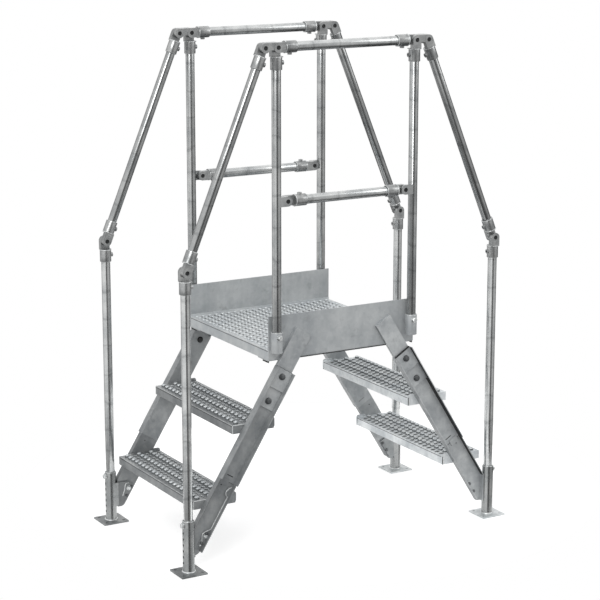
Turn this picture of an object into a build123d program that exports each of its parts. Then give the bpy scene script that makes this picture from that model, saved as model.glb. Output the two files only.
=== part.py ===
from build123d import *
import os
from math import cos, hypot, radians, sin, tan

os.makedirs("parts", exist_ok=True)

# Crossover ladder: two flights that meet at a platform, with pipe handrails on both sides.
# X runs along the way across, Y from the front side to the rear side, Z up.
# The origin is on the floor, under the middle of the platform. All sizes are in millimetres.

# Platform and flights
rise = 254.0
deck_height = 762.0
deck_length = 610.0
clear_width = 604.0
sheet = 3.0
flight_angle = 58.1
first_going = 149.3
fit = 0.3

# Pipes and sleeves
pipe_od = 33.4
pipe_wall = 3.4
sleeve_od = 42.2
weld_sink = 0.5

# Deck panels, turned down at the edges and up along the side boards
deck_depth = 38.0
deck_skirt = 3.0
deck_upturn = 9.0
upturn_thick = 3.0

# Side boards
board_height = 164.0
board_lip = 75.0
board_bend = 6.0

# Treads
tread_depth = 168.0
tread_height = 32.0
tread_sheet = 3.0
ear_back = 3.0
ear_length = 44.0
ear_above = 10.0
ear_below = 1.0
ear_round = 9.0

# Stringers, measured along the flight from the middle of the upper tread
stringer_width = 76.2
stringer_depth = 31.75
stringer_set = 4.0
stringer_up = 231.0
stringer_down = 214.0

# Leg brackets that hang the stringers on the side boards
bracket_rise = 152.4
bracket_lap = 152.4
bracket_depth = 13.0
clamp_length = 76.2
clamp_thick = 8.0
lap_bolt_edge = 27.0
lap_bolt_d = 11.0

# Foot brackets at the bottom of the stringers
foot_lap = 11.0
tongue_reach = 26.0
tongue_width = 35.0
tongue_t = 7.0
foot_slot_back = 22.5
foot_slot_t = -6.0
foot_slot_length = 28.0
foot_slot_width = 3.5
foot_flange_depth = 22.0
foot_pin_at = 19.5
foot_pin_t = 11.0
foot_pin_d = 5.0
foot_bottom = 55.0
foot_corner_r = 20.0
foot_flange_trim = 12.0
clip_at = 13.0
clip_length = 37.0
clip_tall = 15.0
lug_back = 93.0
lug_length = 66.0
lug_tall = 18.0
lug_round = 8.0
foot_bolt_d = 9.0
foot_bolt_gap = 38.0

# Feet
plate_size = 100.0
plate_thick = 6.0
anchor_spacing = 70.0
anchor_hole_d = 11.0
foot_sleeve_top = 193.6
gusset_thick = 6.0
gusset_back = 91.0
gusset_edge = 6.0
pin_hole_d = 9.0
pin_pitch = 22.0
pin_count = 6
pin_first = 40.0
set_bolt_drop = 15.0

# Platform posts
post_inset = 22.3
post_sleeve_drop = 6.0
post_sleeve_length = 74.0
post_set_drop = 17.3

# Rail heights and fittings
rail_rise = 1071.5
mid_rise = 535.0
elbow_rise = 322.3
outer_pivot = 50.0
mid_pivot = 38.8
lug_r = 17.5
lug_half = 19.0
lug_gap = 0.3
lug_clear = 0.5
tab_thick = 15.0
bridge_below = 8.0
socket_start = 30.0
socket_floor = 36.0
socket_length = 76.0
boss_at = 53.0
boss_r = 8.0
boss_stand = 6.0
set_screw_d = 8.0
pivot_d = 9.0
pivot_sink_d = 16.0
pivot_sink = 5.0
post_end_gap = 24.0

# Derived places
half_width = clear_width / 2
half_deck = deck_length / 2
board_face = half_width + sheet
post_x = half_deck - post_inset
post_y = board_face + sleeve_od / 2 - weld_sink
web_face = board_face + stringer_set
nest_face = web_face + sheet
flange_face = web_face + stringer_depth
bore_d = pipe_od + 2 * fit
deck_low = deck_height - deck_depth
board_low = deck_low - sheet
post_sleeve_low = deck_height - post_sleeve_drop
post_sleeve_high = post_sleeve_low + post_sleeve_length
rail_height = deck_height + rail_rise
mid_height = deck_height + mid_rise
elbow_height = deck_height + elbow_rise
upper_top = deck_height - rise
run = cos(radians(flight_angle))
drop = sin(radians(flight_angle))
going = rise / tan(radians(flight_angle))
mid_x = half_deck + first_going - tread_depth / 2
mid_z = upper_top - tread_height / 2
tread_half = web_face - fit
nest_half = stringer_width / 2 - sheet - fit
foot_x = mid_x + (mid_z - foot_bottom) / tan(radians(flight_angle))
foot_in = foot_x - sleeve_od / 2 - fit
boss_reach = sleeve_od / 2 + boss_stand


def along(x, z):
    """Distance down the flight of a point that is x from the middle and z from the floor."""
    return (x - mid_x) * run + (mid_z - z) * drop


def across(x, z):
    """Distance above the flight's centre line of the same point."""
    return (x - mid_x) * drop + (z - mid_z) * run


def flight_plane(y):
    """Plane of the front left flight at y: x down the flight, y up across it, z to the rear."""
    return Plane(origin=(-mid_x, -y, mid_z), x_dir=(-run, 0, -drop), z_dir=(0, 1, 0))


def span(s0, s1, t0, t1):
    """Rectangle between two stations along the flight and two across it."""
    with Locations(((s0 + s1) / 2, (t0 + t1) / 2)):
        Rectangle(abs(s1 - s0), abs(t1 - t0))


# Deck panels, two beside each other
with BuildPart() as deck_panel_left:
    with BuildSketch(Plane.XY.offset(deck_low)):
        with Locations((-half_deck / 2, 0)):
            Rectangle(half_deck, clear_width - 2 * fit)
    extrude(amount=deck_depth)
    with BuildSketch(Plane.XY.offset(deck_height)):
        with Locations((-half_deck / 2, half_width - fit), (-half_deck / 2, -half_width + fit)):
            Rectangle(half_deck, 2 * upturn_thick)
    extrude(amount=deck_upturn)
    with BuildSketch(Plane.XY.offset(deck_low)):
        with Locations((-half_deck / 2, 0)):
            Rectangle(half_deck - 2 * deck_skirt, clear_width - 2 * fit - 2 * deck_skirt)
    extrude(amount=deck_depth - deck_skirt, mode=Mode.SUBTRACT)
    with BuildSketch(Plane.XY.offset(deck_height)):
        Rectangle(2 * deck_length, 2 * deck_length)
        Rectangle(2 * deck_length, clear_width - 2 * fit, mode=Mode.SUBTRACT)
    extrude(amount=deck_upturn, mode=Mode.SUBTRACT)

with BuildPart() as deck_panel_right:
    mirror(deck_panel_left.part, about=Plane.YZ)

# Side boards: toe board above the deck, lip turned in under the panels, and two post sleeves
with BuildPart() as side_board_front:
    with BuildSketch(Plane.YZ.offset(-half_deck)):
        with BuildLine():
            Polyline(
                (-half_width, board_low + board_height),
                (-board_face, board_low + board_height),
                (-board_face, board_low),
                (-half_width + board_lip, board_low),
                (-half_width + board_lip, deck_low),
                (-half_width, deck_low),
                close=True,
            )
        make_face()
        fillet(vertices().sort_by_distance((-board_face, board_low, 0))[0], board_bend)
    extrude(amount=deck_length)
    with BuildSketch(Plane.XY.offset(post_sleeve_low)):
        with Locations((-post_x, -post_y), (post_x, -post_y)):
            Circle(sleeve_od / 2)
    extrude(amount=post_sleeve_high - post_sleeve_low)
    with BuildSketch(Plane.XY.offset(post_sleeve_low)):
        with Locations((-post_x, -post_y), (post_x, -post_y)):
            Circle(bore_d / 2)
    extrude(amount=post_sleeve_high - post_sleeve_low, mode=Mode.SUBTRACT)
    with BuildSketch(Plane.XZ.offset(post_y)):
        with Locations((-post_x, post_sleeve_high - post_set_drop), (post_x, post_sleeve_high - post_set_drop)):
            Circle(set_screw_d / 2)
    extrude(amount=sleeve_od, mode=Mode.SUBTRACT)

with BuildPart() as side_board_rear:
    mirror(side_board_front.part, about=Plane.XZ)

# Stringers: channels with their flanges turned out, away from the treads
with BuildPart() as stringer_front_left:
    with BuildSketch(flight_plane(flange_face)):
        span(-stringer_up, stringer_down, -stringer_width / 2, stringer_width / 2)
    extrude(amount=stringer_depth)
    with BuildSketch(flight_plane(flange_face)):
        span(-stringer_up, stringer_down, -stringer_width / 2 + sheet, stringer_width / 2 - sheet)
    extrude(amount=stringer_depth - sheet, mode=Mode.SUBTRACT)
    with BuildSketch(flight_plane(nest_face)):
        with Locations((-stringer_up + lap_bolt_edge, 0), (-stringer_up + bracket_lap - lap_bolt_edge, 0)):
            Circle(lap_bolt_d / 2)
        with Locations((stringer_down - foot_slot_back, foot_slot_t)):
            SlotOverall(foot_slot_length, foot_slot_width, rotation=90)
    extrude(amount=sheet, mode=Mode.SUBTRACT)

with BuildPart() as stringer_front_right:
    mirror(stringer_front_left.part, about=Plane.YZ)

with BuildPart() as stringer_rear_left:
    mirror(stringer_front_left.part, about=Plane.XZ)

with BuildPart() as stringer_rear_right:
    mirror(stringer_rear_left.part, about=Plane.YZ)

# Leg brackets: shallow pans, deep over the side board and shallow inside the stringer
pan_face = board_face + bracket_depth
pan_top = -stringer_up - bracket_rise
pan_low = -stringer_up + bracket_lap
with BuildPart() as leg_bracket_front_left:
    with BuildSketch(flight_plane(pan_face)):
        span(pan_top, -stringer_up - fit, -nest_half, nest_half)
    extrude(amount=bracket_depth)
    with BuildSketch(flight_plane(pan_face)):
        span(-stringer_up - fit, pan_low, -nest_half, nest_half)
    extrude(amount=pan_face - nest_face)
    with BuildSketch(flight_plane(pan_face - sheet)):
        span(pan_top + sheet, pan_low - sheet, -nest_half + sheet, nest_half - sheet)
    extrude(amount=bracket_depth - sheet, mode=Mode.SUBTRACT)
    with BuildSketch(flight_plane(pan_face + clamp_thick)):
        span(-stringer_up, -stringer_up + clamp_length, -nest_half, nest_half)
    extrude(amount=clamp_thick)
    with BuildSketch(flight_plane(pan_face + clamp_thick)):
        with Locations((-stringer_up + lap_bolt_edge, 0), (-stringer_up + bracket_lap - lap_bolt_edge, 0)):
            Circle(lap_bolt_d / 2)
    extrude(amount=clamp_thick + sheet, mode=Mode.SUBTRACT)

with BuildPart() as leg_bracket_front_right:
    mirror(leg_bracket_front_left.part, about=Plane.YZ)

with BuildPart() as leg_bracket_rear_left:
    mirror(leg_bracket_front_left.part, about=Plane.XZ)

with BuildPart() as leg_bracket_rear_right:
    mirror(leg_bracket_rear_left.part, about=Plane.YZ)

# Foot brackets: channels in line with the stringers, lapped on them by a tongue, and closed by
# an upright flange at the foot sleeve
half_band = stringer_width / 2
foot_start = stringer_down + fit
low_x = mid_x + (-half_band + (mid_z - foot_bottom) * run) / drop
high_z = mid_z + (half_band - (foot_in - mid_x) * drop) / run
corner_s = along(low_x, foot_bottom)
lug_start = corner_s - lug_back
bolt_t = -half_band + sheet + lug_tall / 2
bolt_s = lug_start + (lug_length - foot_bolt_gap) / 2
with BuildPart() as foot_bracket_front_left:
    with BuildSketch(flight_plane(nest_face)) as foot_web:
        with BuildLine():
            Polyline(
                (foot_start, half_band),
                (foot_start, -half_band),
                (corner_s, -half_band),
                (along(foot_in, foot_bottom), across(foot_in, foot_bottom)),
                (along(foot_in, high_z), half_band),
                close=True,
            )
        make_face()
        fillet(foot_web.vertices().sort_by_distance((corner_s, -half_band, 0))[0], foot_corner_r)
        with Locations((bolt_s, bolt_t), (bolt_s + foot_bolt_gap, bolt_t)):
            Circle(foot_bolt_d / 2, mode=Mode.SUBTRACT)
    extrude(amount=sheet)
    with BuildSketch(flight_plane(web_face + foot_flange_depth)):
        span(foot_start, along(foot_in, high_z), half_band - sheet, half_band)
        span(foot_start, corner_s - foot_flange_trim, -half_band, -half_band + sheet)
    extrude(amount=foot_flange_depth)
    with BuildSketch(Plane.XZ.offset(web_face)):
        with Locations((-foot_in + sheet / 2, (high_z + foot_bottom) / 2)):
            Rectangle(sheet, high_z - foot_bottom)
    extrude(amount=foot_flange_depth)
    with BuildSketch(flight_plane(nest_face + sheet)):
        with Locations((stringer_down - foot_lap + tongue_reach / 2, tongue_t)):
            Rectangle(tongue_reach, tongue_width)
        with Locations((stringer_down + clip_at + clip_length / 2, -half_band + sheet + clip_tall / 2)):
            RectangleRounded(clip_length, clip_tall, lug_round / 2)
        with Locations((lug_start + lug_length / 2, -half_band + sheet + lug_tall / 2)):
            RectangleRounded(lug_length, lug_tall, lug_round)
        with Locations((bolt_s, bolt_t), (bolt_s + foot_bolt_gap, bolt_t)):
            Circle(foot_bolt_d / 2, mode=Mode.SUBTRACT)
    extrude(amount=sheet)
    with BuildSketch(flight_plane(nest_face + sheet)):
        with Locations((stringer_down + foot_pin_at, foot_pin_t)):
            Circle(foot_pin_d / 2)
    extrude(amount=2 * sheet, mode=Mode.SUBTRACT)

with BuildPart() as foot_bracket_front_right:
    mirror(foot_bracket_front_left.part, about=Plane.YZ)

with BuildPart() as foot_bracket_rear_left:
    mirror(foot_bracket_front_left.part, about=Plane.XZ)

with BuildPart() as foot_bracket_rear_right:
    mirror(foot_bracket_rear_left.part, about=Plane.YZ)

# Treads: pans open below, with an ear at each rear corner
tread_rear = -mid_x + tread_depth / 2
with BuildPart() as tread_left_upper:
    with BuildSketch(Plane.XY.offset(upper_top - tread_height)):
        with Locations((-mid_x, 0)):
            Rectangle(tread_depth, 2 * tread_half)
    extrude(amount=tread_height)
    with BuildSketch(Plane.XY.offset(upper_top - tread_height)):
        with Locations((-mid_x, 0)):
            Rectangle(tread_depth - 2 * tread_sheet, 2 * (tread_half - tread_sheet))
    extrude(amount=tread_height - tread_sheet, mode=Mode.SUBTRACT)
    ear_tall = tread_height + ear_above - ear_below
    with BuildSketch(Plane.XZ.offset(tread_half - tread_sheet)):
        with Locations((tread_rear + ear_back - ear_length / 2, upper_top + ear_above - ear_tall / 2)):
            RectangleRounded(ear_length, ear_tall, ear_round)
    extrude(amount=tread_sheet)
    with BuildSketch(Plane.XZ.offset(-tread_half)):
        with Locations((tread_rear + ear_back - ear_length / 2, upper_top + ear_above - ear_tall / 2)):
            RectangleRounded(ear_length, ear_tall, ear_round)
    extrude(amount=tread_sheet)

with BuildPart() as tread_left_lower:
    with Locations((-going, 0, -rise)):
        add(tread_left_upper.part)

with BuildPart() as tread_right_upper:
    mirror(tread_left_upper.part, about=Plane.YZ)

with BuildPart() as tread_right_lower:
    mirror(tread_left_lower.part, about=Plane.YZ)

# Feet: base plate with anchor holes, telescopic sleeve with pin holes, and a gusset
gusset_t = -half_band + gusset_edge
gusset_start = corner_s - gusset_back
gusset_low = foot_bottom + gusset_edge
gusset_high = mid_z - gusset_start * drop
with BuildPart() as foot_front_left:
    with BuildSketch(Plane.XY):
        with Locations((-foot_x, -post_y)):
            Rectangle(plate_size, plate_size)
            with GridLocations(anchor_spacing, anchor_spacing, 2, 2):
                Circle(anchor_hole_d / 2, mode=Mode.SUBTRACT)
    extrude(amount=plate_thick)
    with BuildSketch(Plane.XY.offset(plate_thick)):
        with Locations((-foot_x, -post_y)):
            Circle(sleeve_od / 2)
    extrude(amount=foot_sleeve_top - plate_thick)
    with BuildSketch(flight_plane(web_face)):
        with BuildLine():
            Polyline(
                (gusset_start, 0),
                (gusset_start, gusset_t),
                (corner_s - gusset_edge, gusset_t),
                (along(foot_x, gusset_low), across(foot_x, gusset_low)),
                (along(foot_x, gusset_high), across(foot_x, gusset_high)),
                close=True,
            )
        make_face()
        with Locations((bolt_s, bolt_t), (bolt_s + foot_bolt_gap, bolt_t)):
            Circle(foot_bolt_d / 2, mode=Mode.SUBTRACT)
    extrude(amount=gusset_thick)
    with BuildSketch(Plane.XY.offset(plate_thick)):
        with Locations((-foot_x, -post_y)):
            Circle(bore_d / 2)
    extrude(amount=foot_sleeve_top - plate_thick, mode=Mode.SUBTRACT)
    with BuildSketch(Plane.YZ.offset(-foot_x - sleeve_od / 2)):
        with Locations(*[(-post_y, pin_first + k * pin_pitch) for k in range(pin_count)]):
            Circle(pin_hole_d / 2)
        with Locations((-post_y, foot_sleeve_top - set_bolt_drop)):
            Circle(set_screw_d / 2)
    extrude(amount=sleeve_od / 2, mode=Mode.SUBTRACT)

with BuildPart() as foot_front_right:
    mirror(foot_front_left.part, about=Plane.YZ)

with BuildPart() as foot_rear_left:
    mirror(foot_front_left.part, about=Plane.XZ)

with BuildPart() as foot_rear_right:
    mirror(foot_rear_left.part, about=Plane.YZ)

# Outer posts, from the feet up to the elbows
with BuildPart() as outer_post_front_left:
    with BuildSketch(Plane.XY.offset(post_end_gap)):
        with Locations((-foot_x, -post_y)):
            Circle(pipe_od / 2)
            Circle(pipe_od / 2 - pipe_wall, mode=Mode.SUBTRACT)
    extrude(amount=elbow_height - socket_floor - post_end_gap)
    with BuildSketch(Plane.YZ.offset(-foot_x - sleeve_od / 2)):
        with Locations(*[(-post_y, pin_first + k * pin_pitch) for k in range(pin_count)]):
            Circle(pin_hole_d / 2)
    extrude(amount=sleeve_od / 2, mode=Mode.SUBTRACT)

with BuildPart() as outer_post_front_right:
    mirror(outer_post_front_left.part, about=Plane.YZ)

with BuildPart() as outer_post_rear_left:
    mirror(outer_post_front_left.part, about=Plane.XZ)

with BuildPart() as outer_post_rear_right:
    mirror(outer_post_rear_left.part, about=Plane.YZ)

# Inner posts, from the side boards up to the corner fittings, with a tab for the mid rail
with BuildPart() as inner_post_front_left:
    with BuildSketch(Plane.XY.offset(post_sleeve_low)):
        with Locations((-post_x, -post_y)):
            Circle(pipe_od / 2)
    extrude(amount=rail_height - socket_floor - post_sleeve_low)
    with BuildSketch(Plane.XZ.offset(post_y + lug_gap / 2)):
        with Locations((-post_x + mid_pivot, mid_height)):
            Circle(lug_r)
        with Locations((-post_x + mid_pivot / 2, mid_height)):
            Rectangle(mid_pivot, 2 * lug_r)
        with Locations((-post_x + mid_pivot, mid_height)):
            Circle(pivot_d / 2, mode=Mode.SUBTRACT)
    extrude(amount=tab_thick)
    with BuildSketch(Plane.XZ.offset(post_y + lug_gap / 2 + tab_thick - pivot_sink)):
        with Locations((-post_x + mid_pivot, mid_height)):
            Circle(pivot_sink_d / 2)
    extrude(amount=pivot_sink, mode=Mode.SUBTRACT)
    with BuildSketch(Plane.XY.offset(post_sleeve_low)):
        with Locations((-post_x, -post_y)):
            Circle(pipe_od / 2 - pipe_wall)
    extrude(amount=rail_height - socket_floor - post_sleeve_low, mode=Mode.SUBTRACT)

with BuildPart() as inner_post_front_right:
    mirror(inner_post_front_left.part, about=Plane.YZ)

with BuildPart() as inner_post_rear_left:
    mirror(inner_post_front_left.part, about=Plane.XZ)

with BuildPart() as inner_post_rear_right:
    mirror(inner_post_rear_left.part, about=Plane.YZ)


def swivel_socket(pivot, direction, lug_side, boss_side):
    """Half lapped socket along direction, its lug on one half of the pivot, with a set screw boss."""
    frame = Plane(origin=pivot, x_dir=direction, z_dir=(0, lug_side, 0))
    axis = Plane(origin=pivot, x_dir=frame.z_dir, z_dir=direction)
    boss = Plane(
        origin=axis.from_local_coords((0, 0, boss_at)),
        x_dir=direction,
        z_dir=frame.y_dir * boss_side,
    )
    with BuildPart() as body:
        with BuildSketch(frame.offset(lug_gap / 2)):
            Circle(lug_r)
            with Locations(((socket_start + socket_floor) / 4, 0)):
                Rectangle((socket_start + socket_floor) / 2, 2 * lug_r)
        extrude(amount=lug_half - lug_gap / 2)
        with BuildSketch(axis.offset(socket_start)):
            Circle(sleeve_od / 2)
        extrude(amount=socket_length - socket_start)
        with BuildSketch(boss):
            Circle(boss_r)
        extrude(amount=boss_reach)
        with BuildSketch(axis.offset(socket_floor)):
            Circle(bore_d / 2)
        extrude(amount=socket_length - socket_floor, mode=Mode.SUBTRACT)
        with BuildSketch(boss):
            Circle(set_screw_d / 2)
        extrude(amount=boss_reach, mode=Mode.SUBTRACT)
        with BuildSketch(frame):
            Circle(pivot_d / 2)
        extrude(amount=lug_half, mode=Mode.SUBTRACT)
        with BuildSketch(frame.offset(lug_half - pivot_sink)):
            Circle(pivot_sink_d / 2)
        extrude(amount=pivot_sink, mode=Mode.SUBTRACT)
    return body.part


def four_ways(piece):
    """The front left casting, its turned twin at the rear right, and both moved across."""
    turned = piece.moved(Location((0, 0, 0), (0, 0, 180)))
    back = piece.moved(Location((0, 2 * post_y, 0)))
    return [piece, turned, back, turned.moved(Location((0, -2 * post_y, 0)))]


# Pivots of the front left corner, and the direction of the inclined rail between them
rail_run = foot_x - post_x - outer_pivot
rail_climb = rail_height - elbow_height
rail_long = hypot(rail_run, rail_climb)
up_dir = Vector(rail_run / rail_long, 0, rail_climb / rail_long)
elbow_at = Vector(-foot_x, -post_y, elbow_height)
corner_at = Vector(-post_x, -post_y, rail_height)
outer_at = Vector(-post_x - outer_pivot, -post_y, rail_height)
mid_at = Vector(-post_x + mid_pivot, -post_y, mid_height)

elbow_post_one = swivel_socket(elbow_at, Vector(0, 0, -1), 1, -1)
elbow_rail_one = swivel_socket(elbow_at, up_dir, -1, -1)
top_rail_one = swivel_socket(corner_at, Vector(1, 0, 0), -1, -1)
slope_one = swivel_socket(outer_at, up_dir * -1, 1, -1)
mid_one = swivel_socket(mid_at, Vector(1, 0, 0), 1, -1)
mid_two = mid_one.rotate(Axis((0, 0, mid_height), (0, 1, 0)), 180)

with BuildPart() as elbow_post_sockets:
    add(four_ways(elbow_post_one))

with BuildPart() as elbow_rail_sockets:
    add(four_ways(elbow_rail_one))

with BuildPart() as top_rail_sockets:
    add(four_ways(top_rail_one))

with BuildPart() as slope_rail_sockets:
    add(four_ways(slope_one))

with BuildPart() as mid_rail_sockets:
    add([mid_one, mid_two])
    add([half.rotate(Axis((0, 0, mid_height), (1, 0, 0)), 180) for half in (mid_one, mid_two)])

# Corner castings on the platform posts: one lug over the post and one further out
lug_cut = lug_r + lug_clear
with BuildPart() as corner_one:
    with BuildSketch(Plane.XZ.offset(post_y + lug_half)):
        with Locations((-post_x - outer_pivot / 2, rail_height + (lug_r - bridge_below) / 2)):
            Rectangle(outer_pivot, lug_r + bridge_below)
        with Locations((-post_x, rail_height), (-post_x - outer_pivot, rail_height)):
            Circle(lug_r)
        with Locations((-post_x, rail_height - (socket_start + socket_floor) / 4)):
            Rectangle(2 * lug_r, (socket_start + socket_floor) / 2)
    extrude(amount=-2 * lug_half)
    with BuildSketch(Plane.XZ.offset(post_y - lug_gap / 2)):
        with Locations((-post_x, rail_height)):
            Circle(lug_cut)
            Rectangle(2 * lug_cut, socket_start, align=(Align.CENTER, Align.MAX))
            Rectangle(2 * lug_cut, 2 * lug_cut, align=(Align.MIN, Align.CENTER))
    extrude(amount=lug_half + lug_gap, mode=Mode.SUBTRACT)
    with BuildSketch(Plane(origin=outer_at, x_dir=up_dir * -1, z_dir=(0, 1, 0)).offset(-lug_gap / 2)):
        Circle(lug_cut)
        Rectangle(2 * lug_cut, 2 * lug_cut, align=(Align.MIN, Align.CENTER))
    extrude(amount=lug_half + lug_gap, mode=Mode.SUBTRACT)
    with BuildSketch(Plane.XY.offset(rail_height - socket_length)):
        with Locations((-post_x, -post_y)):
            Circle(sleeve_od / 2)
    extrude(amount=socket_length - socket_start)
    with BuildSketch(Plane.YZ.offset(-post_x)):
        with Locations((-post_y, rail_height - boss_at)):
            Circle(boss_r)
    extrude(amount=boss_reach)
    with BuildSketch(Plane.XY.offset(rail_height - socket_length)):
        with Locations((-post_x, -post_y)):
            Circle(bore_d / 2)
    extrude(amount=socket_length - socket_floor, mode=Mode.SUBTRACT)
    with BuildSketch(Plane.YZ.offset(-post_x)):
        with Locations((-post_y, rail_height - boss_at)):
            Circle(set_screw_d / 2)
    extrude(amount=boss_reach, mode=Mode.SUBTRACT)
    with BuildSketch(Plane.XZ.offset(post_y - lug_half)):
        with Locations((-post_x, rail_height), (-post_x - outer_pivot, rail_height)):
            Circle(pivot_d / 2)
    extrude(amount=2 * lug_half, mode=Mode.SUBTRACT)
    with BuildSketch(Plane.XZ.offset(post_y - lug_half)):
        with Locations((-post_x, rail_height)):
            Circle(pivot_sink_d / 2)
    extrude(amount=pivot_sink, mode=Mode.SUBTRACT)
    with BuildSketch(Plane.XZ.offset(post_y + lug_half - pivot_sink)):
        with Locations((-post_x - outer_pivot, rail_height)):
            Circle(pivot_sink_d / 2)
    extrude(amount=pivot_sink, mode=Mode.SUBTRACT)

with BuildPart() as corner_post_castings:
    add(four_ways(corner_one.part))

# Top rails, mid rails and inclined rails
with BuildPart() as top_rail_front:
    with BuildSketch(Plane.YZ.offset(-post_x + socket_floor)):
        with Locations((-post_y, rail_height)):
            Circle(pipe_od / 2)
            Circle(pipe_od / 2 - pipe_wall, mode=Mode.SUBTRACT)
    extrude(amount=2 * (post_x - socket_floor))

with BuildPart() as top_rail_rear:
    mirror(top_rail_front.part, about=Plane.XZ)

with BuildPart() as mid_rail_front:
    with BuildSketch(Plane.YZ.offset(-post_x + mid_pivot + socket_floor)):
        with Locations((-post_y, mid_height)):
            Circle(pipe_od / 2)
            Circle(pipe_od / 2 - pipe_wall, mode=Mode.SUBTRACT)
    extrude(amount=2 * (post_x - mid_pivot - socket_floor))

with BuildPart() as mid_rail_rear:
    mirror(mid_rail_front.part, about=Plane.XZ)

with BuildPart() as slope_rails_front:
    with BuildSketch(Plane(origin=elbow_at, x_dir=(0, 1, 0), z_dir=up_dir).offset(socket_floor)):
        Circle(pipe_od / 2)
        Circle(pipe_od / 2 - pipe_wall, mode=Mode.SUBTRACT)
    extrude(amount=rail_long - 2 * socket_floor)
    mirror(about=Plane.YZ)

with BuildPart() as slope_rails_rear:
    mirror(slope_rails_front.part, about=Plane.XZ)

deck_panel_left.part.label = "deck_panel_left"
deck_panel_right.part.label = "deck_panel_right"
side_board_front.part.label = "side_board_front"
side_board_rear.part.label = "side_board_rear"
stringer_front_left.part.label = "stringer_front_left"
stringer_front_right.part.label = "stringer_front_right"
stringer_rear_left.part.label = "stringer_rear_left"
stringer_rear_right.part.label = "stringer_rear_right"
leg_bracket_front_left.part.label = "leg_bracket_front_left"
leg_bracket_front_right.part.label = "leg_bracket_front_right"
leg_bracket_rear_left.part.label = "leg_bracket_rear_left"
leg_bracket_rear_right.part.label = "leg_bracket_rear_right"
foot_bracket_front_left.part.label = "foot_bracket_front_left"
foot_bracket_front_right.part.label = "foot_bracket_front_right"
foot_bracket_rear_left.part.label = "foot_bracket_rear_left"
foot_bracket_rear_right.part.label = "foot_bracket_rear_right"
tread_left_upper.part.label = "tread_left_upper"
tread_left_lower.part.label = "tread_left_lower"
tread_right_upper.part.label = "tread_right_upper"
tread_right_lower.part.label = "tread_right_lower"
foot_front_left.part.label = "foot_front_left"
foot_front_right.part.label = "foot_front_right"
foot_rear_left.part.label = "foot_rear_left"
foot_rear_right.part.label = "foot_rear_right"
outer_post_front_left.part.label = "outer_post_front_left"
outer_post_front_right.part.label = "outer_post_front_right"
outer_post_rear_left.part.label = "outer_post_rear_left"
outer_post_rear_right.part.label = "outer_post_rear_right"
inner_post_front_left.part.label = "inner_post_front_left"
inner_post_front_right.part.label = "inner_post_front_right"
inner_post_rear_left.part.label = "inner_post_rear_left"
inner_post_rear_right.part.label = "inner_post_rear_right"
elbow_post_sockets.part.label = "elbow_post_sockets"
elbow_rail_sockets.part.label = "elbow_rail_sockets"
top_rail_sockets.part.label = "top_rail_sockets"
slope_rail_sockets.part.label = "slope_rail_sockets"
mid_rail_sockets.part.label = "mid_rail_sockets"
corner_post_castings.part.label = "corner_post_castings"
top_rail_front.part.label = "top_rail_front"
top_rail_rear.part.label = "top_rail_rear"
mid_rail_front.part.label = "mid_rail_front"
mid_rail_rear.part.label = "mid_rail_rear"
slope_rails_front.part.label = "slope_rails_front"
slope_rails_rear.part.label = "slope_rails_rear"

export_step(deck_panel_left.part, "parts/deck_panel_left.step")
export_step(deck_panel_right.part, "parts/deck_panel_right.step")
export_step(side_board_front.part, "parts/side_board_front.step")
export_step(side_board_rear.part, "parts/side_board_rear.step")
export_step(stringer_front_left.part, "parts/stringer_front_left.step")
export_step(stringer_front_right.part, "parts/stringer_front_right.step")
export_step(stringer_rear_left.part, "parts/stringer_rear_left.step")
export_step(stringer_rear_right.part, "parts/stringer_rear_right.step")
export_step(leg_bracket_front_left.part, "parts/leg_bracket_front_left.step")
export_step(leg_bracket_front_right.part, "parts/leg_bracket_front_right.step")
export_step(leg_bracket_rear_left.part, "parts/leg_bracket_rear_left.step")
export_step(leg_bracket_rear_right.part, "parts/leg_bracket_rear_right.step")
export_step(foot_bracket_front_left.part, "parts/foot_bracket_front_left.step")
export_step(foot_bracket_front_right.part, "parts/foot_bracket_front_right.step")
export_step(foot_bracket_rear_left.part, "parts/foot_bracket_rear_left.step")
export_step(foot_bracket_rear_right.part, "parts/foot_bracket_rear_right.step")
export_step(tread_left_upper.part, "parts/tread_left_upper.step")
export_step(tread_left_lower.part, "parts/tread_left_lower.step")
export_step(tread_right_upper.part, "parts/tread_right_upper.step")
export_step(tread_right_lower.part, "parts/tread_right_lower.step")
export_step(foot_front_left.part, "parts/foot_front_left.step")
export_step(foot_front_right.part, "parts/foot_front_right.step")
export_step(foot_rear_left.part, "parts/foot_rear_left.step")
export_step(foot_rear_right.part, "parts/foot_rear_right.step")
export_step(outer_post_front_left.part, "parts/outer_post_front_left.step")
export_step(outer_post_front_right.part, "parts/outer_post_front_right.step")
export_step(outer_post_rear_left.part, "parts/outer_post_rear_left.step")
export_step(outer_post_rear_right.part, "parts/outer_post_rear_right.step")
export_step(inner_post_front_left.part, "parts/inner_post_front_left.step")
export_step(inner_post_front_right.part, "parts/inner_post_front_right.step")
export_step(inner_post_rear_left.part, "parts/inner_post_rear_left.step")
export_step(inner_post_rear_right.part, "parts/inner_post_rear_right.step")
export_step(elbow_post_sockets.part, "parts/elbow_post_sockets.step")
export_step(elbow_rail_sockets.part, "parts/elbow_rail_sockets.step")
export_step(top_rail_sockets.part, "parts/top_rail_sockets.step")
export_step(slope_rail_sockets.part, "parts/slope_rail_sockets.step")
export_step(mid_rail_sockets.part, "parts/mid_rail_sockets.step")
export_step(corner_post_castings.part, "parts/corner_post_castings.step")
export_step(top_rail_front.part, "parts/top_rail_front.step")
export_step(top_rail_rear.part, "parts/top_rail_rear.step")
export_step(mid_rail_front.part, "parts/mid_rail_front.step")
export_step(mid_rail_rear.part, "parts/mid_rail_rear.step")
export_step(slope_rails_front.part, "parts/slope_rails_front.step")
export_step(slope_rails_rear.part, "parts/slope_rails_rear.step")
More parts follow.
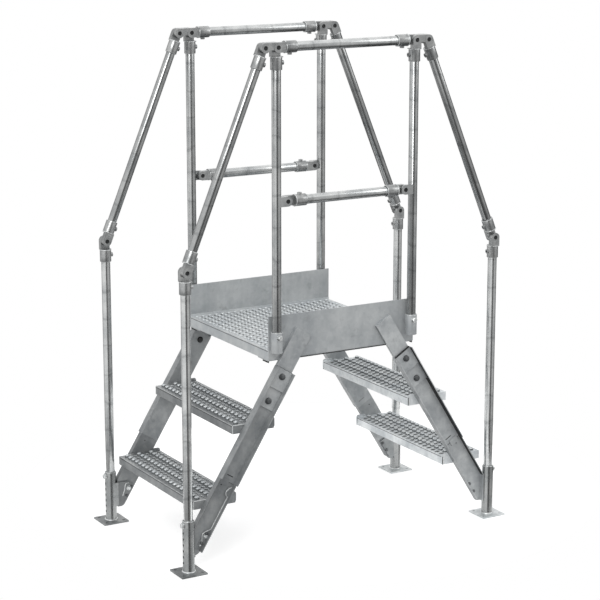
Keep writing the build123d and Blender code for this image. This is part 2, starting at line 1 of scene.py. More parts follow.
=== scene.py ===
"""Finishes the galvanised crossover ladder: zinc materials, grip buttons, bolts, welds and a studio."""

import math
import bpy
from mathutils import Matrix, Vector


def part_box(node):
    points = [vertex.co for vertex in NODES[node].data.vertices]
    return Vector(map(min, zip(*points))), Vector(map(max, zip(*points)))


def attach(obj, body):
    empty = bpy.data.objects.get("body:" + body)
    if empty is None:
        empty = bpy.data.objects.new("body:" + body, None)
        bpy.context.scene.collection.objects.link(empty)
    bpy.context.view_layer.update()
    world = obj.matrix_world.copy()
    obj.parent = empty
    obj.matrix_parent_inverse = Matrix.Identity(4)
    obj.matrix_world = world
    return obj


bl_info = {
    "name": "Crossover Ladder Finish",
    "version": (1, 0, 0),
    "blender": (4, 5, 0),
    "location": "View3D > Sidebar > Ladder",
    "description": "Dresses a galvanised crossover ladder and sets up its studio",
    "category": "Object",
}

import bmesh
import bpy
from mathutils import Vector

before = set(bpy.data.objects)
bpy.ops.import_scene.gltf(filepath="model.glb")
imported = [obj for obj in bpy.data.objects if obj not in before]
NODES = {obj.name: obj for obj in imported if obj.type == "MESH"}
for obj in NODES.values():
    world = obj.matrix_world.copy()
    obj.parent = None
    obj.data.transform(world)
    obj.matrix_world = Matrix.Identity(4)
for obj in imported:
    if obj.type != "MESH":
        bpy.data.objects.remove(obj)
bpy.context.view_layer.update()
BODY = "root"

# The ladder's own layout in metres, read from its pieces where a piece shows it
CORNERS = ((-1, -1), (1, -1), (-1, 1), (1, 1))
TREADS = ("tread_left_upper", "tread_left_lower", "tread_right_upper", "tread_right_lower")
DECK_PANELS = ("deck_panel_left", "deck_panel_right")


def middle(node):
    """Centre of a piece's box."""
    low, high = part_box(node)
    return (low + high) / 2


OUTER_POST = middle("outer_post_front_left")
FOOT_X = abs(OUTER_POST.x)
POST_Y = abs(OUTER_POST.y)
POST_X = abs(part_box("inner_post_front_left")[0].x) - 0.0167
RAIL_Z = middle("top_rail_front").z
MID_Z = middle("mid_rail_front").z
ELBOW_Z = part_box("outer_post_front_left")[1].z + 0.036

# Sleeves, base plates and set bolts
SLEEVE_R = 0.0211
PLATE_TOP = 0.0062
FOOT_SLEEVE_TOP = 0.1934
POST_SLEEVE = (0.757, 0.8298)
FOOT_BOLT_Z = 0.1786
POST_BOLT_Z = 0.8127

# Swivel fittings: pivots, lugs, cups and the bosses of the set screws, from each pivot
OUTER_PIVOT = 0.05
MID_PIVOT = 0.0388
LUG_HALF = 0.019
PIVOT_SINK = 0.0045
MID_TAB_FACE = 0.0103
BOSS_AT = 0.053
BOSS_TOP = 0.0259
CUP_MOUTH = 0.0758
CUP_FLOOR = 0.0325

# Flights: slope and start, and how far out the faces of their sheets lie
FLIGHT = math.radians(58.1)
FLIGHT_X = 0.3703
FLIGHT_Z = 0.492
GUSSET_Y = 0.303
WEB_Y = 0.309
BRACKET_Y = 0.315
PAN_Y = 0.318
CLAMP_Y = 0.326

# Treads and deck panels: ears and upturns above the walking surface, and the tread's depth
EAR_ABOVE = 0.010
UPTURN = 0.009
TREAD_DEPTH = 0.168
NOSE_MARGIN = 0.024
DECK_CENTER = 0.149
TREAD_ROWS, TREAD_COLUMNS = 21, 3
DECK_ROWS, DECK_COLUMNS = 22, 11


def on_flight(along, across, out, sides):
    """Point on a flight: along it from the upper tread, across it and out from the middle."""
    x = FLIGHT_X + along * math.cos(FLIGHT) + across * math.sin(FLIGHT)
    z = FLIGHT_Z - along * math.sin(FLIGHT) + across * math.cos(FLIGHT)
    return Vector((sides[0] * x, sides[1] * out, z))


def fittings(sides):
    """Pivots of a corner: elbow, top corner, upper end of the inclined rail, and mid rail."""
    spots = ((FOOT_X, ELBOW_Z), (POST_X, RAIL_Z), (POST_X + OUTER_PIVOT, RAIL_Z), (POST_X - MID_PIVOT, MID_Z))
    return [Vector((sides[0] * x, sides[1] * POST_Y, z)) for x, z in spots]


def tread_edges(node):
    """Side, nose and walking surface of a tread, and half its width."""
    low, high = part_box(node)
    side = -1 if low.x < 0 else 1
    return side, max(abs(low.x), abs(high.x)), high.z - EAR_ABOVE, high.y


def deck_edges(node):
    """Side, outer edge and walking surface of a deck panel, and half its width inside the upturns."""
    low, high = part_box(node)
    side = -1 if low.x < -0.1 else 1
    return side, max(abs(low.x), abs(high.x)), high.z - UPTURN, high.y - 0.003


# ---------------------------------------------------------------- settings


def distance(name, description, low, high, default):
    """Setting that holds a length."""
    return bpy.props.FloatProperty(
        name=name, description=description, subtype="DISTANCE", unit="LENGTH", min=low, max=high, default=default)


def colour(name, description, default):
    """Setting that holds a colour."""
    return bpy.props.FloatVectorProperty(
        name=name, description=description, subtype="COLOR", size=3, min=0, max=1, default=default)


class ZincSettings(bpy.types.PropertyGroup):
    """Colours and roughness of the galvanised steel."""

    sheet_light: colour("Sheet Light", "Light patches of the folded sheet", (0.46, 0.475, 0.478))
    sheet_dark: colour("Sheet Dark", "Dark patches of the folded sheet", (0.30, 0.318, 0.33))
    pipe_light: colour("Pipe Light", "Light patches of the pipes", (0.66, 0.67, 0.665))
    pipe_dark: colour("Pipe Dark", "Dark patches of the pipes", (0.42, 0.435, 0.44))
    sheet_rough: bpy.props.FloatProperty(
        name="Sheet Roughness", description="Roughness of the folded sheet",
        subtype="FACTOR", min=0, max=1, default=0.42)
    pipe_rough: bpy.props.FloatProperty(
        name="Pipe Roughness", description="Roughness of the pipes",
        subtype="FACTOR", min=0, max=1, default=0.19)
    edge_round: distance("Edge Rounding", "Width of the softened edges", 0, 0.003, 0.0007)


class GripSettings(bpy.types.PropertyGroup):
    """Raised buttons of the treads and the deck."""

    tread_pitch: distance("Tread Pitch", "Distance between the buttons along a tread", 0.01, 0.1, 0.02875)
    tread_row: distance("Tread Row", "Distance between the rows of buttons on a tread", 0.01, 0.1, 0.05)
    tread_radius: distance("Tread Button Radius", "Radius of the crown of a tread button", 0.002, 0.03, 0.0064)
    tread_crown: distance("Tread Crown", "Half width of the raised rim of a tread button", 0.0005, 0.01, 0.0031)
    tread_tall: distance("Tread Button Height", "How far a tread button stands up", 0.0005, 0.01, 0.0082)
    drain_radius: distance(
        "Drain Radius", "Radius of the open holes between the tread buttons", 0.002, 0.03, 0.0088)
    deck_pitch: distance("Deck Pitch", "Distance between the buttons of the deck", 0.01, 0.1, 0.0273)
    deck_radius: distance("Deck Button Radius", "Radius of the crown of a deck button", 0.002, 0.03, 0.0042)
    deck_crown: distance("Deck Crown", "Half width of the raised rim of a deck button", 0.0005, 0.01, 0.0021)


class FastenerSettings(bpy.types.PropertyGroup):
    """Bolts, set screws and weld beads."""

    head_radius: distance("Set Bolt Radius", "Radius over the corners of a set bolt's head", 0.002, 0.02, 0.0095)
    head_height: distance("Set Bolt Height", "How far a set bolt's head stands out", 0.001, 0.02, 0.0075)
    weld_radius: distance("Weld Radius", "Radius of the weld beads", 0.0005, 0.006, 0.0026)
    weld_uneven: distance("Weld Unevenness", "How lumpy the weld beads are", 0, 0.003, 0.0009)


class StudioSettings(bpy.types.PropertyGroup):
    """Camera, floor and light."""

    camera_place: bpy.props.FloatVectorProperty(
        name="Camera Place", description="Where the camera stands",
        subtype="TRANSLATION", unit="LENGTH", size=3, default=(-3.6132, -6.2458, 2.4894))
    camera_turn: bpy.props.FloatProperty(
        name="Camera Turn", description="Turn of the camera about the vertical",
        subtype="ANGLE", unit="ROTATION", default=math.radians(-30.05))
    camera_tilt: bpy.props.FloatProperty(
        name="Camera Tilt", description="Tilt of the camera above the horizon",
        subtype="ANGLE", unit="ROTATION", default=math.radians(-12.79))
    lens: bpy.props.FloatProperty(
        name="Lens", description="Focal length in millimetres", min=10, max=500, default=118.79)
    floor_size: distance("Floor Size", "Width of the round floor", 2, 200, 2.3)
    floor_place: bpy.props.FloatVectorProperty(
        name="Floor Place", description="Middle of the floor, a hair under the feet",
        subtype="TRANSLATION", unit="LENGTH", size=3, default=(0.25, 0.35, -0.0005))
    floor_color: colour("Floor Colour", "Colour of the floor", (0.82, 0.82, 0.82))


# ---------------------------------------------------------------- node helpers


def link(tree, source, target):
    """Joins two sockets."""
    tree.links.new(source, target)


def add_node(tree, kind, feeds=None, **values):
    """Adds a node, sets its plain properties and feeds its inputs with sockets or values."""
    node = tree.nodes.new(kind)
    for key, value in values.items():
        setattr(node, key, value)
    for key, value in (feeds or {}).items():
        if isinstance(value, bpy.types.NodeSocket):
            link(tree, value, node.inputs[key])
        else:
            node.inputs[key].default_value = value
    return node


def maths(tree, operation, first, second=None):
    """Math node on sockets or numbers, giving its output."""
    feeds = {0: first} if second is None else {0: first, 1: second}
    return add_node(tree, "ShaderNodeMath", feeds, operation=operation).outputs[0]


def spread(tree, value, low, high, new_low=0.0, new_high=1.0):
    """Stretches a value from one range to another, clamped."""
    feeds = {"Value": value, "From Min": low, "From Max": high, "To Min": new_low, "To Max": new_high}
    return add_node(tree, "ShaderNodeMapRange", feeds).outputs["Result"]


def noise(tree, where, scale, **more):
    """Noise at a place."""
    return add_node(tree, "ShaderNodeTexNoise", {"Vector": where, "Scale": scale, **more}).outputs["Fac"]


def mixed(tree, factor, first, second, **values):
    """Blend of two colours."""
    feeds = {0: factor, 6: first, 7: second}
    return add_node(tree, "ShaderNodeMix", feeds, data_type="RGBA", **values).outputs[2]


def chosen(tree, factor, first, second):
    """Blend of two numbers."""
    return add_node(tree, "ShaderNodeMix", {0: factor, 2: first, 3: second}, data_type="FLOAT").outputs[0]


def object_place(tree):
    """Place on the piece itself."""
    return add_node(tree, "ShaderNodeTexCoord").outputs["Object"]


def new_group(name, kind, inputs, outputs):
    """Node group with its sockets, each (name, type, default)."""
    tree = bpy.data.node_groups.new(name, kind)
    for side, sockets in (("INPUT", inputs), ("OUTPUT", outputs)):
        for label, socket_type, *default in sockets:
            socket = tree.interface.new_socket(label, in_out=side, socket_type="NodeSocket" + socket_type)
            if default:
                socket.default_value = default[0]
    return tree, tree.nodes.new("NodeGroupInput").outputs, tree.nodes.new("NodeGroupOutput").inputs


def new_material(name):
    """Material with its tree and the inputs of its shader."""
    material = bpy.data.materials.new(name)
    material.use_nodes = True
    tree = material.node_tree
    return material, tree, tree.nodes["Principled BSDF"].inputs


# ---------------------------------------------------------------- materials


def zinc_skin_group():
    """Mottled zinc: soft patches, small spangle, faint streaks and a fine grain."""
    if "zinc_skin" in bpy.data.node_groups:
        return bpy.data.node_groups["zinc_skin"]
    tree, given, made = new_group(
        "zinc_skin", "ShaderNodeTree",
        [("Light", "Color", (0.5, 0.5, 0.5, 1)), ("Dark", "Color", (0.3, 0.3, 0.3, 1)),
         ("Patch Scale", "Float", 7.0), ("Spangle Scale", "Float", 90.0),
         ("Rough Low", "Float", 0.35), ("Rough High", "Float", 0.5)],
        [("Color", "Color"), ("Roughness", "Float"), ("Height", "Float")])
    place = object_place(tree)
    patch = spread(tree, noise(tree, place, given["Patch Scale"], Detail=5.0, Roughness=0.62), 0.32, 0.68)
    spangle = add_node(tree, "ShaderNodeTexVoronoi", {"Vector": place, "Scale": given["Spangle Scale"]})
    grey = add_node(tree, "ShaderNodeRGBToBW", {"Color": spangle.outputs["Color"]})
    glint = spread(tree, grey.outputs["Val"], 0.1, 0.9, -0.11, 0.11)
    drawn = add_node(tree, "ShaderNodeMapping", {"Vector": place, "Scale": (38.0, 38.0, 5.0)})
    streak = spread(tree, noise(tree, drawn.outputs["Vector"], 1.0, Detail=3.0), 0.35, 0.7, -0.12, 0.12)
    mask = maths(tree, "ADD", maths(tree, "ADD", patch, glint), streak)
    link(tree, mixed(tree, mask, given["Dark"], given["Light"]), made["Color"])
    link(tree, spread(tree, mask, 0.0, 1.0, given["Rough High"], given["Rough Low"]), made["Roughness"])
    grain = maths(tree, "MULTIPLY", noise(tree, place, 650.0), 0.35)
    link(tree, maths(tree, "ADD", grain, noise(tree, place, 55.0)), made["Height"])
    return tree


def marks_and_shade_group():
    """Darkens a colour with rubbed marks, rings left by the mill and painted shade on faces that look down."""
    if "marks_and_painted_shade" in bpy.data.node_groups:
        return bpy.data.node_groups["marks_and_painted_shade"]
    tree, given, made = new_group(
        "marks_and_painted_shade", "ShaderNodeTree",
        [("Color", "Color", (0.5, 0.5, 0.5, 1)), ("Along", "Vector", (0, 0, 1)), ("Ring Pitch", "Float", 0.1),
         ("Ring Depth", "Float", 0.0), ("Stain", "Float", 0.3), ("Under", "Float", 0.5),
         ("Under From", "Float", -0.25), ("Under To", "Float", -0.7)],
        [("Color", "Color")])
    place = object_place(tree)
    normal = add_node(tree, "ShaderNodeNewGeometry").outputs["Normal"]
    facing = add_node(tree, "ShaderNodeSeparateXYZ", {0: normal}).outputs["Z"]
    # Painted shade: faces that look down are darkened, from Under From to Under To, by the share Under
    under = spread(tree, facing, given["Under From"], given["Under To"])
    under = maths(tree, "MULTIPLY", under, given["Under"])
    reach = add_node(tree, "ShaderNodeVectorMath", {0: place, 1: given["Along"]}, operation="DOT_PRODUCT")
    turns = maths(tree, "DIVIDE", reach.outputs["Value"], given["Ring Pitch"])
    turns = maths(tree, "ADD", turns, maths(tree, "MULTIPLY", noise(tree, place, 9.0), 0.8))
    ring = spread(tree, maths(tree, "PINGPONG", turns, 0.5), 0.0, 0.07, 1.0, 0.0)
    ring = maths(tree, "MULTIPLY", ring, given["Ring Depth"])
    blot = spread(tree, noise(tree, place, 16.0, Detail=6.0, Roughness=0.7), 0.58, 0.72)
    blot = maths(tree, "MULTIPLY", blot, given["Stain"])
    mask = maths(tree, "ADD", maths(tree, "ADD", ring, blot), under)
    mask = maths(tree, "MINIMUM", mask, 1.0)
    # Stains, mill rings and the painted shade all darken towards this near black
    link(tree, mixed(tree, mask, given["Color"], (0.09, 0.098, 0.103, 1)), made["Color"])
    return tree


def put_group(tree, group, **values):
    """Places a group in a material with its own values or sockets."""
    feeds = {name.replace("_", " "): value for name, value in values.items()}
    return add_node(tree, "ShaderNodeGroup", feeds, node_tree=group).outputs


def put_skin(tree, light, dark, patch, spangle, rough_low, rough_high):
    """Places the zinc skin in a material."""
    return put_group(tree, zinc_skin_group(), Light=(*light, 1), Dark=(*dark, 1), Patch_Scale=patch,
                     Spangle_Scale=spangle, Rough_Low=rough_low, Rough_High=rough_high)


def zinc_material(name, light, dark, rough, metal, patch=7.0, spangle=90.0, along=(0, 0, 1),
                  ring=0.0, stain=0.3, bump=0.35, under=0.5, under_from=-0.25, under_to=-0.7):
    """Galvanised steel with its own colours, marks and grain, and painted shade on faces that look down."""
    material, tree, shader = new_material(name)
    shader["Metallic"].default_value = metal
    skin = put_skin(tree, light, dark, patch, spangle, rough - 0.06, rough + 0.08)
    # under, under_from and under_to set the painted shade on faces that look down
    marks = put_group(tree, marks_and_shade_group(), Color=skin["Color"], Along=along, Ring_Pitch=MILL_RING,
                      Ring_Depth=ring, Stain=stain, Under=under, Under_From=under_from, Under_To=under_to)
    link(tree, marks["Color"], shader["Base Color"])
    link(tree, skin["Roughness"], shader["Roughness"])
    relief = add_node(tree, "ShaderNodeBump", {"Strength": bump, "Distance": 0.0004, "Height": skin["Height"]})
    link(tree, relief.outputs["Normal"], shader["Normal"])
    return material


def foot_material(name, gusset, plate, sleeve):
    """Foot welded from a gusset darkened as painted shade, a base plate and a sleeve as bright as the pipes."""
    material, tree, shader = new_material(name)
    split = add_node(tree, "ShaderNodeSeparateXYZ", {0: object_place(tree)}).outputs
    above = maths(tree, "GREATER_THAN", split["Z"], PLATE_TOP + 0.0003)
    away = maths(tree, "GREATER_THAN", maths(tree, "ABSOLUTE", split["X"]), FOOT_X - SLEEVE_R - 0.0008)
    tube = maths(tree, "MULTIPLY", above, away)
    zone = mixed(tree, tube, mixed(tree, above, (*plate, 1), (*gusset, 1)), (*sleeve, 1))
    skin = put_skin(tree, (1, 1, 1), (0.62, 0.64, 0.65), 14.0, 220.0, 0.16, 0.3)
    tone = mixed(tree, 1.0, zone, skin["Color"], blend_type="MULTIPLY")
    # Faces that look down get painted shade
    marks = put_group(tree, marks_and_shade_group(), Color=tone, Ring_Pitch=MILL_RING, Stain=0.3, Under=0.6)
    link(tree, marks["Color"], shader["Base Color"])
    link(tree, spread(tree, tube, 0.0, 1.0, 0.5, 0.9), shader["Metallic"])
    rough = maths(tree, "ADD", skin["Roughness"], spread(tree, tube, 0.0, 1.0, 0.16, 0.0))
    link(tree, rough, shader["Roughness"])
    return material


def shadow_material(name):
    """Near black painted shade for holes and slots, and for the shade pieces and shadow lines of the flights,
    boards, deck and treads.
    """
    material, tree, shader = new_material(name)
    shader["Roughness"].default_value = 0.8
    speck = noise(tree, object_place(tree), 300.0)
    link(tree, mixed(tree, speck, (0.006, 0.006, 0.007, 1), (0.03, 0.031, 0.033, 1)), shader["Base Color"])
    return material


# Spacing of the rings left by the mill, direction of the inclined rails, and marks that finishes share, where
# under is painted shade on faces that look down
MILL_RING = 0.104
SLOPE = (0.3819, 0, 0.9242)
SHEET = {"patch": 9.0, "under": 0.8}
GRIP = {"patch": 14.0, "spangle": 300.0, "stain": 0.1, "bump": 0.05}
PIPE = {"patch": 12.0, "spangle": 260.0, "stain": 0.16, "bump": 0.015}
BOLT = {"patch": 60.0, "spangle": 500.0, "stain": 0.1}

# Finishes by name: base, shares of its light and dark colour, roughness added, metallic and marks, whose under,
# under_from and under_to give painted shade on faces that look down
FINISHES = {
    "zinc_sheet": ("sheet", 1.17, 1.15, 0.0, 0.35, {"patch": 5.0, "stain": 0.35}),
    # Left and right copies of one sheet: the left ones darker as painted shade, the right ones lighter as painted
    # light
    "zinc_stringer_left": ("sheet", 0.874, 0.8075, 0.0, 0.4, {**SHEET, "stain": 0.45}),
    "zinc_stringer_right": ("sheet", 1.334, 1.2325, 0.0, 0.4, SHEET),
    "zinc_bracket_left": ("sheet", 1.15, 1.0625, 0.0, 0.4, SHEET),
    "zinc_bracket_right": ("sheet", 1.288, 1.19, 0.0, 0.4, SHEET),
    "zinc_foot_left": ("sheet", 0.6992, 0.646, 0.0, 0.4, {**SHEET, "stain": 0.45}),
    "zinc_foot_right": ("sheet", 1.15, 1.0625, 0.0, 0.4, {**SHEET, "stain": 0.35}),
    # Treads: the left copy darker as painted shade, the right one much lighter as painted light
    "zinc_tread_left": ("sheet", 0.8, 0.7, -0.06, 0.5, {"patch": 11.0, "stain": 0.25, "under": 0.7}),
    "zinc_tread_right": ("sheet", 1.95, 1.95, -0.06, 0.4, {"patch": 11.0, "stain": 0.2, "under": 0.7}),
    # Buttons and studs: their sloping sides darkened as painted shade, the down-facing mask moved up to slopes
    # above level
    "zinc_button": ("sheet", 1.75, 2.0, -0.12, 0.6,
                    {**GRIP, "under": 0.88, "under_from": 0.62, "under_to": 0.25}),
    "zinc_stud": ("sheet", 1.9, 2.3, -0.12, 0.5,
                  {**GRIP, "under": 0.6, "under_from": 0.5, "under_to": 0.1}),
    "zinc_deck": ("sheet", 1.4, 1.6, -0.04, 0.4, {"patch": 11.0, "stain": 0.15}),
    "zinc_upright": ("pipe", 1.0, 1.0, 0.0, 0.9, {**PIPE, "ring": 0.3}),
    # Inner posts: the pipe colour darkened a little as painted shade
    "zinc_post": ("pipe", 0.88, 0.84, 0.0, 0.9, {**PIPE, "ring": 0.35, "stain": 0.2}),
    # Level rails and castings: strong painted shade on their undersides
    "zinc_level": ("pipe", 1.15, 1.15, 0.0, 0.9, {**PIPE, "ring": 0.26, "along": (1, 0, 0), "under": 0.88}),
    "zinc_slope": ("pipe", 0.72, 0.72, 0.03, 0.9, {**PIPE, "ring": 0.3, "along": SLOPE, "under": 0.6}),
    "zinc_casting": ("pipe", 0.78, 0.66, 0.11, 0.78,
                     {"patch": 26.0, "spangle": 240.0, "stain": 0.4, "bump": 0.3, "under": 0.85}),
    "zinc_fastener": ("pipe", 1.3, 1.4, 0.03, 0.9, {**BOLT, "under": 0.6}),
    "dull_bolt": ("dull", 1.0, 1.0, 0.0, 0.0, BOLT),
    # Dome heads: dark grey, with their lower half darkened as painted shade
    "zinc_dome": ("dome", 1.0, 1.0, 0.0, 0.8,
                  {**BOLT, "stain": 0.2, "under": 0.9, "under_from": 0.25, "under_to": -0.35}),
    # Bright zinc of the real welds, also used for the painted highlights of rims, bent beads, nosings and tread
    # corners
    "zinc_weld_and_highlight": ("pipe", 1.35, 1.6, 0.11, 0.6,
                  {"patch": 80.0, "spangle": 600.0, "stain": 0.05, "bump": 0.4, "under": 0.2}),
}

# Feet: shares of the sheet's colour on the gusset and the base plate, and of the pipe's on the sleeve; the
# gusset's low share is painted shade, the left feet are darker as painted shade and the right feet lighter as
# painted light
FOOT_FINISHES = {"zinc_base_left": (0.55, 0.6, 0.66), "zinc_base_right": (0.95, 1.6, 0.66)}

# Finish of each frame piece by the start of its name, with {} for the ladder's side
PIECE_FINISHES = (
    ("deck", "zinc_deck"),
    ("side_board", "zinc_sheet"),
    ("tread", "zinc_tread_{}"),
    ("stringer", "zinc_stringer_{}"),
    ("leg_bracket", "zinc_bracket_{}"),
    ("foot_bracket", "zinc_foot_{}"),
    ("foot", "zinc_base_{}"),
    ("outer_post", "zinc_upright"),
    ("inner_post", "zinc_post"),
    ("slope_rails", "zinc_slope"),
    (("top_rail_front", "top_rail_rear", "mid_rail_front", "mid_rail_rear"), "zinc_level"),
    ("", "zinc_casting"),
)


def lift(color, share):
    """Lighter or darker colour."""
    return tuple(min(1.0, value * share) for value in color)


def look(name):
    """Material of that name, built when it is first asked for."""
    if name in bpy.data.materials:
        return bpy.data.materials[name]
    zinc = bpy.context.scene.ladder_zinc
    if name == "hole_shadow":
        return shadow_material(name)
    if name in FOOT_FINISHES:
        gusset, plate, sleeve = FOOT_FINISHES[name]
        return foot_material(name, lift(zinc.sheet_light, gusset), lift(zinc.sheet_light, plate),
                             lift(zinc.pipe_light, sleeve))
    bases = {
        "sheet": (zinc.sheet_light, zinc.sheet_dark, zinc.sheet_rough),
        "pipe": (zinc.pipe_light, zinc.pipe_dark, zinc.pipe_rough),
        "dull": ((0.018, 0.019, 0.02), (0.006, 0.0065, 0.007), 0.5),
        "dome": ((0.24, 0.25, 0.255), (0.12, 0.125, 0.13), 0.34),
    }
    base, light_share, dark_share, rougher, metal, marks = FINISHES[name]
    light, dark, rough = bases[base]
    light, dark = lift(light, light_share), lift(dark, dark_share)
    return zinc_material(name, light, dark, rough + rougher, metal, **marks)


# ---------------------------------------------------------------- geometry trees and pieces

GRID_INPUTS = [("Width", "Float", 0.15), ("Length", "Float", 0.6), ("Columns", "Int", 4), ("Rows", "Int", 14),
               ("Center", "Vector", (0, 0, 0)), ("Material", "Material")]


def new_tree(name, inputs):
    """Geometry node tree with the named inputs."""
    geometry = [("Geometry", "Geometry")]
    return new_group(name, "GeometryNodeTree", geometry + inputs, geometry)


def finish_tree(tree, given, made, geometry):
    """Ends a tree: instances become real and take the material."""
    real = add_node(tree, "GeometryNodeRealizeInstances", {"Geometry": geometry})
    paint = add_node(tree, "GeometryNodeSetMaterial", {
        "Geometry": real.outputs["Geometry"], "Material": given["Material"]})
    link(tree, paint.outputs["Geometry"], made["Geometry"])
    return tree


def fill_grid(tree, given, made, shape):
    """Sets a shape on every point of a grid and moves the field to its place."""
    field = add_node(tree, "GeometryNodeMeshGrid", {
        "Size X": given["Width"], "Size Y": given["Length"],
        "Vertices X": given["Columns"], "Vertices Y": given["Rows"]})
    copies = add_node(tree, "GeometryNodeInstanceOnPoints", {
        "Points": field.outputs["Mesh"], "Instance": shape})
    shift = add_node(tree, "GeometryNodeTransform", {
        "Geometry": copies.outputs["Instances"], "Translation": given["Center"]})
    return finish_tree(tree, given, made, shift.outputs["Geometry"])


def button_tree():
    """Field of raised ring buttons on a flat strip."""
    if "grip_buttons" in bpy.data.node_groups:
        return bpy.data.node_groups["grip_buttons"]
    tree, given, made = new_tree("grip_buttons", GRID_INPUTS + [
        ("Radius", "Float", 0.01), ("Crown", "Float", 0.004), ("Flatten", "Float", 0.7),
        ("Around", "Int", 14), ("Across", "Int", 8)])
    ring = add_node(tree, "GeometryNodeCurvePrimitiveCircle", {
        "Resolution": given["Around"], "Radius": given["Radius"]})
    profile = add_node(tree, "GeometryNodeCurvePrimitiveCircle", {
        "Resolution": given["Across"], "Radius": given["Crown"]})
    tube = add_node(tree, "GeometryNodeCurveToMesh", {
        "Curve": ring.outputs["Curve"], "Profile Curve": profile.outputs["Curve"]})
    squeeze = add_node(tree, "ShaderNodeCombineXYZ", {0: 1, 1: 1, 2: given["Flatten"]})
    flat = add_node(tree, "GeometryNodeTransform", {
        "Geometry": tube.outputs["Mesh"], "Scale": squeeze.outputs[0]})
    return fill_grid(tree, given, made, flat.outputs["Geometry"])


def disc_tree():
    """Field of flat discs, the dark holes of the grip surface, painted shade."""
    if "grip_holes" in bpy.data.node_groups:
        return bpy.data.node_groups["grip_holes"]
    tree, given, made = new_tree("grip_holes", GRID_INPUTS + [
        ("Radius", "Float", 0.006), ("Thickness", "Float", 0.0006)])
    disc = add_node(tree, "GeometryNodeMeshCylinder", {
        "Vertices": 12, "Radius": given["Radius"], "Depth": given["Thickness"]})
    return fill_grid(tree, given, made, disc.outputs["Mesh"])


def bolt_tree():
    """Bolt heads on points, turned to look along each point's aim."""
    if "bolt_heads" in bpy.data.node_groups:
        return bpy.data.node_groups["bolt_heads"]
    tree, given, made = new_tree("bolt_heads", [
        ("Sides", "Int", 6), ("Radius", "Float", 0.009), ("Height", "Float", 0.006),
        ("Washer", "Float", 0.012), ("Washer Thickness", "Float", 0.002), ("Chamfer", "Float", 0.82),
        ("Material", "Material")])
    parts = add_node(tree, "GeometryNodeJoinGeometry")
    thick, sides, radius = given["Washer Thickness"], given["Sides"], given["Radius"]
    shank = maths(tree, "MULTIPLY", given["Height"], 0.75)
    shoulder = maths(tree, "ADD", thick, shank)

    def raise_up(mesh, height):
        vector = add_node(tree, "ShaderNodeCombineXYZ", {2: height})
        move = add_node(tree, "GeometryNodeTransform", {
            "Geometry": mesh.outputs["Mesh"], "Translation": vector.outputs[0]})
        link(tree, move.outputs["Geometry"], parts.inputs[0])

    washer = add_node(tree, "GeometryNodeMeshCylinder", {
        "Vertices": 24, "Radius": given["Washer"], "Depth": thick})
    raise_up(washer, maths(tree, "MULTIPLY", thick, 0.5))
    prism = add_node(tree, "GeometryNodeMeshCylinder", {"Vertices": sides, "Radius": radius, "Depth": shank})
    raise_up(prism, maths(tree, "ADD", thick, maths(tree, "MULTIPLY", shank, 0.5)))
    top = add_node(tree, "GeometryNodeMeshCone", {
        "Vertices": sides, "Radius Bottom": radius,
        "Radius Top": maths(tree, "MULTIPLY", radius, given["Chamfer"]),
        "Depth": maths(tree, "MULTIPLY", given["Height"], 0.25)})
    raise_up(top, shoulder)
    aim = add_node(tree, "GeometryNodeInputNamedAttribute", {"Name": "aim"}, data_type="FLOAT_VECTOR")
    turn = add_node(tree, "FunctionNodeAlignRotationToVector", {"Vector": aim.outputs[0]}, axis="Z")
    copies = add_node(tree, "GeometryNodeInstanceOnPoints", {
        "Points": given["Geometry"], "Instance": parts.outputs[0], "Rotation": turn.outputs[0]})
    return finish_tree(tree, given, made, copies.outputs["Instances"])


def bead_tree():
    """Round bead along edges, made lumpy by noise."""
    if "weld_beads" in bpy.data.node_groups:
        return bpy.data.node_groups["weld_beads"]
    tree, given, made = new_tree("weld_beads", [
        ("Radius", "Float", 0.0025), ("Uneven", "Float", 0.0008), ("Step", "Float", 0.003),
        ("Material", "Material")])
    curve = add_node(tree, "GeometryNodeMeshToCurve", {"Mesh": given["Geometry"]})
    even = add_node(tree, "GeometryNodeResampleCurve", mode="LENGTH", feeds={
        "Curve": curve.outputs["Curve"], "Length": given["Step"]})
    profile = add_node(tree, "GeometryNodeCurvePrimitiveCircle", {"Resolution": 8, "Radius": given["Radius"]})
    tube = add_node(tree, "GeometryNodeCurveToMesh", {
        "Curve": even.outputs["Curve"], "Profile Curve": profile.outputs["Curve"], "Fill Caps": True})
    lump = add_node(tree, "ShaderNodeTexNoise", {"Scale": 170.0}).outputs["Fac"]
    lump = maths(tree, "MULTIPLY", maths(tree, "SUBTRACT", lump, 0.5), given["Uneven"])
    normal = add_node(tree, "GeometryNodeInputNormal").outputs[0]
    push = add_node(tree, "ShaderNodeVectorMath", operation="SCALE", feeds={
        0: normal, "Scale": maths(tree, "MULTIPLY", lump, 2.0)})
    shift = add_node(tree, "GeometryNodeSetPosition", {
        "Geometry": tube.outputs["Mesh"], "Offset": push.outputs[0]})
    smooth = add_node(tree, "GeometryNodeSetShadeSmooth", {"Geometry": shift.outputs["Geometry"]})
    return finish_tree(tree, given, made, smooth.outputs["Geometry"])


def put_object(name, data):
    """Object in the scene for a mesh, a lamp or a camera."""
    thing = bpy.data.objects.new(name, data)
    bpy.context.scene.collection.objects.link(thing)
    return thing


def settle(piece):
    """Lets a finished piece ride on the ladder."""
    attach(piece, BODY)


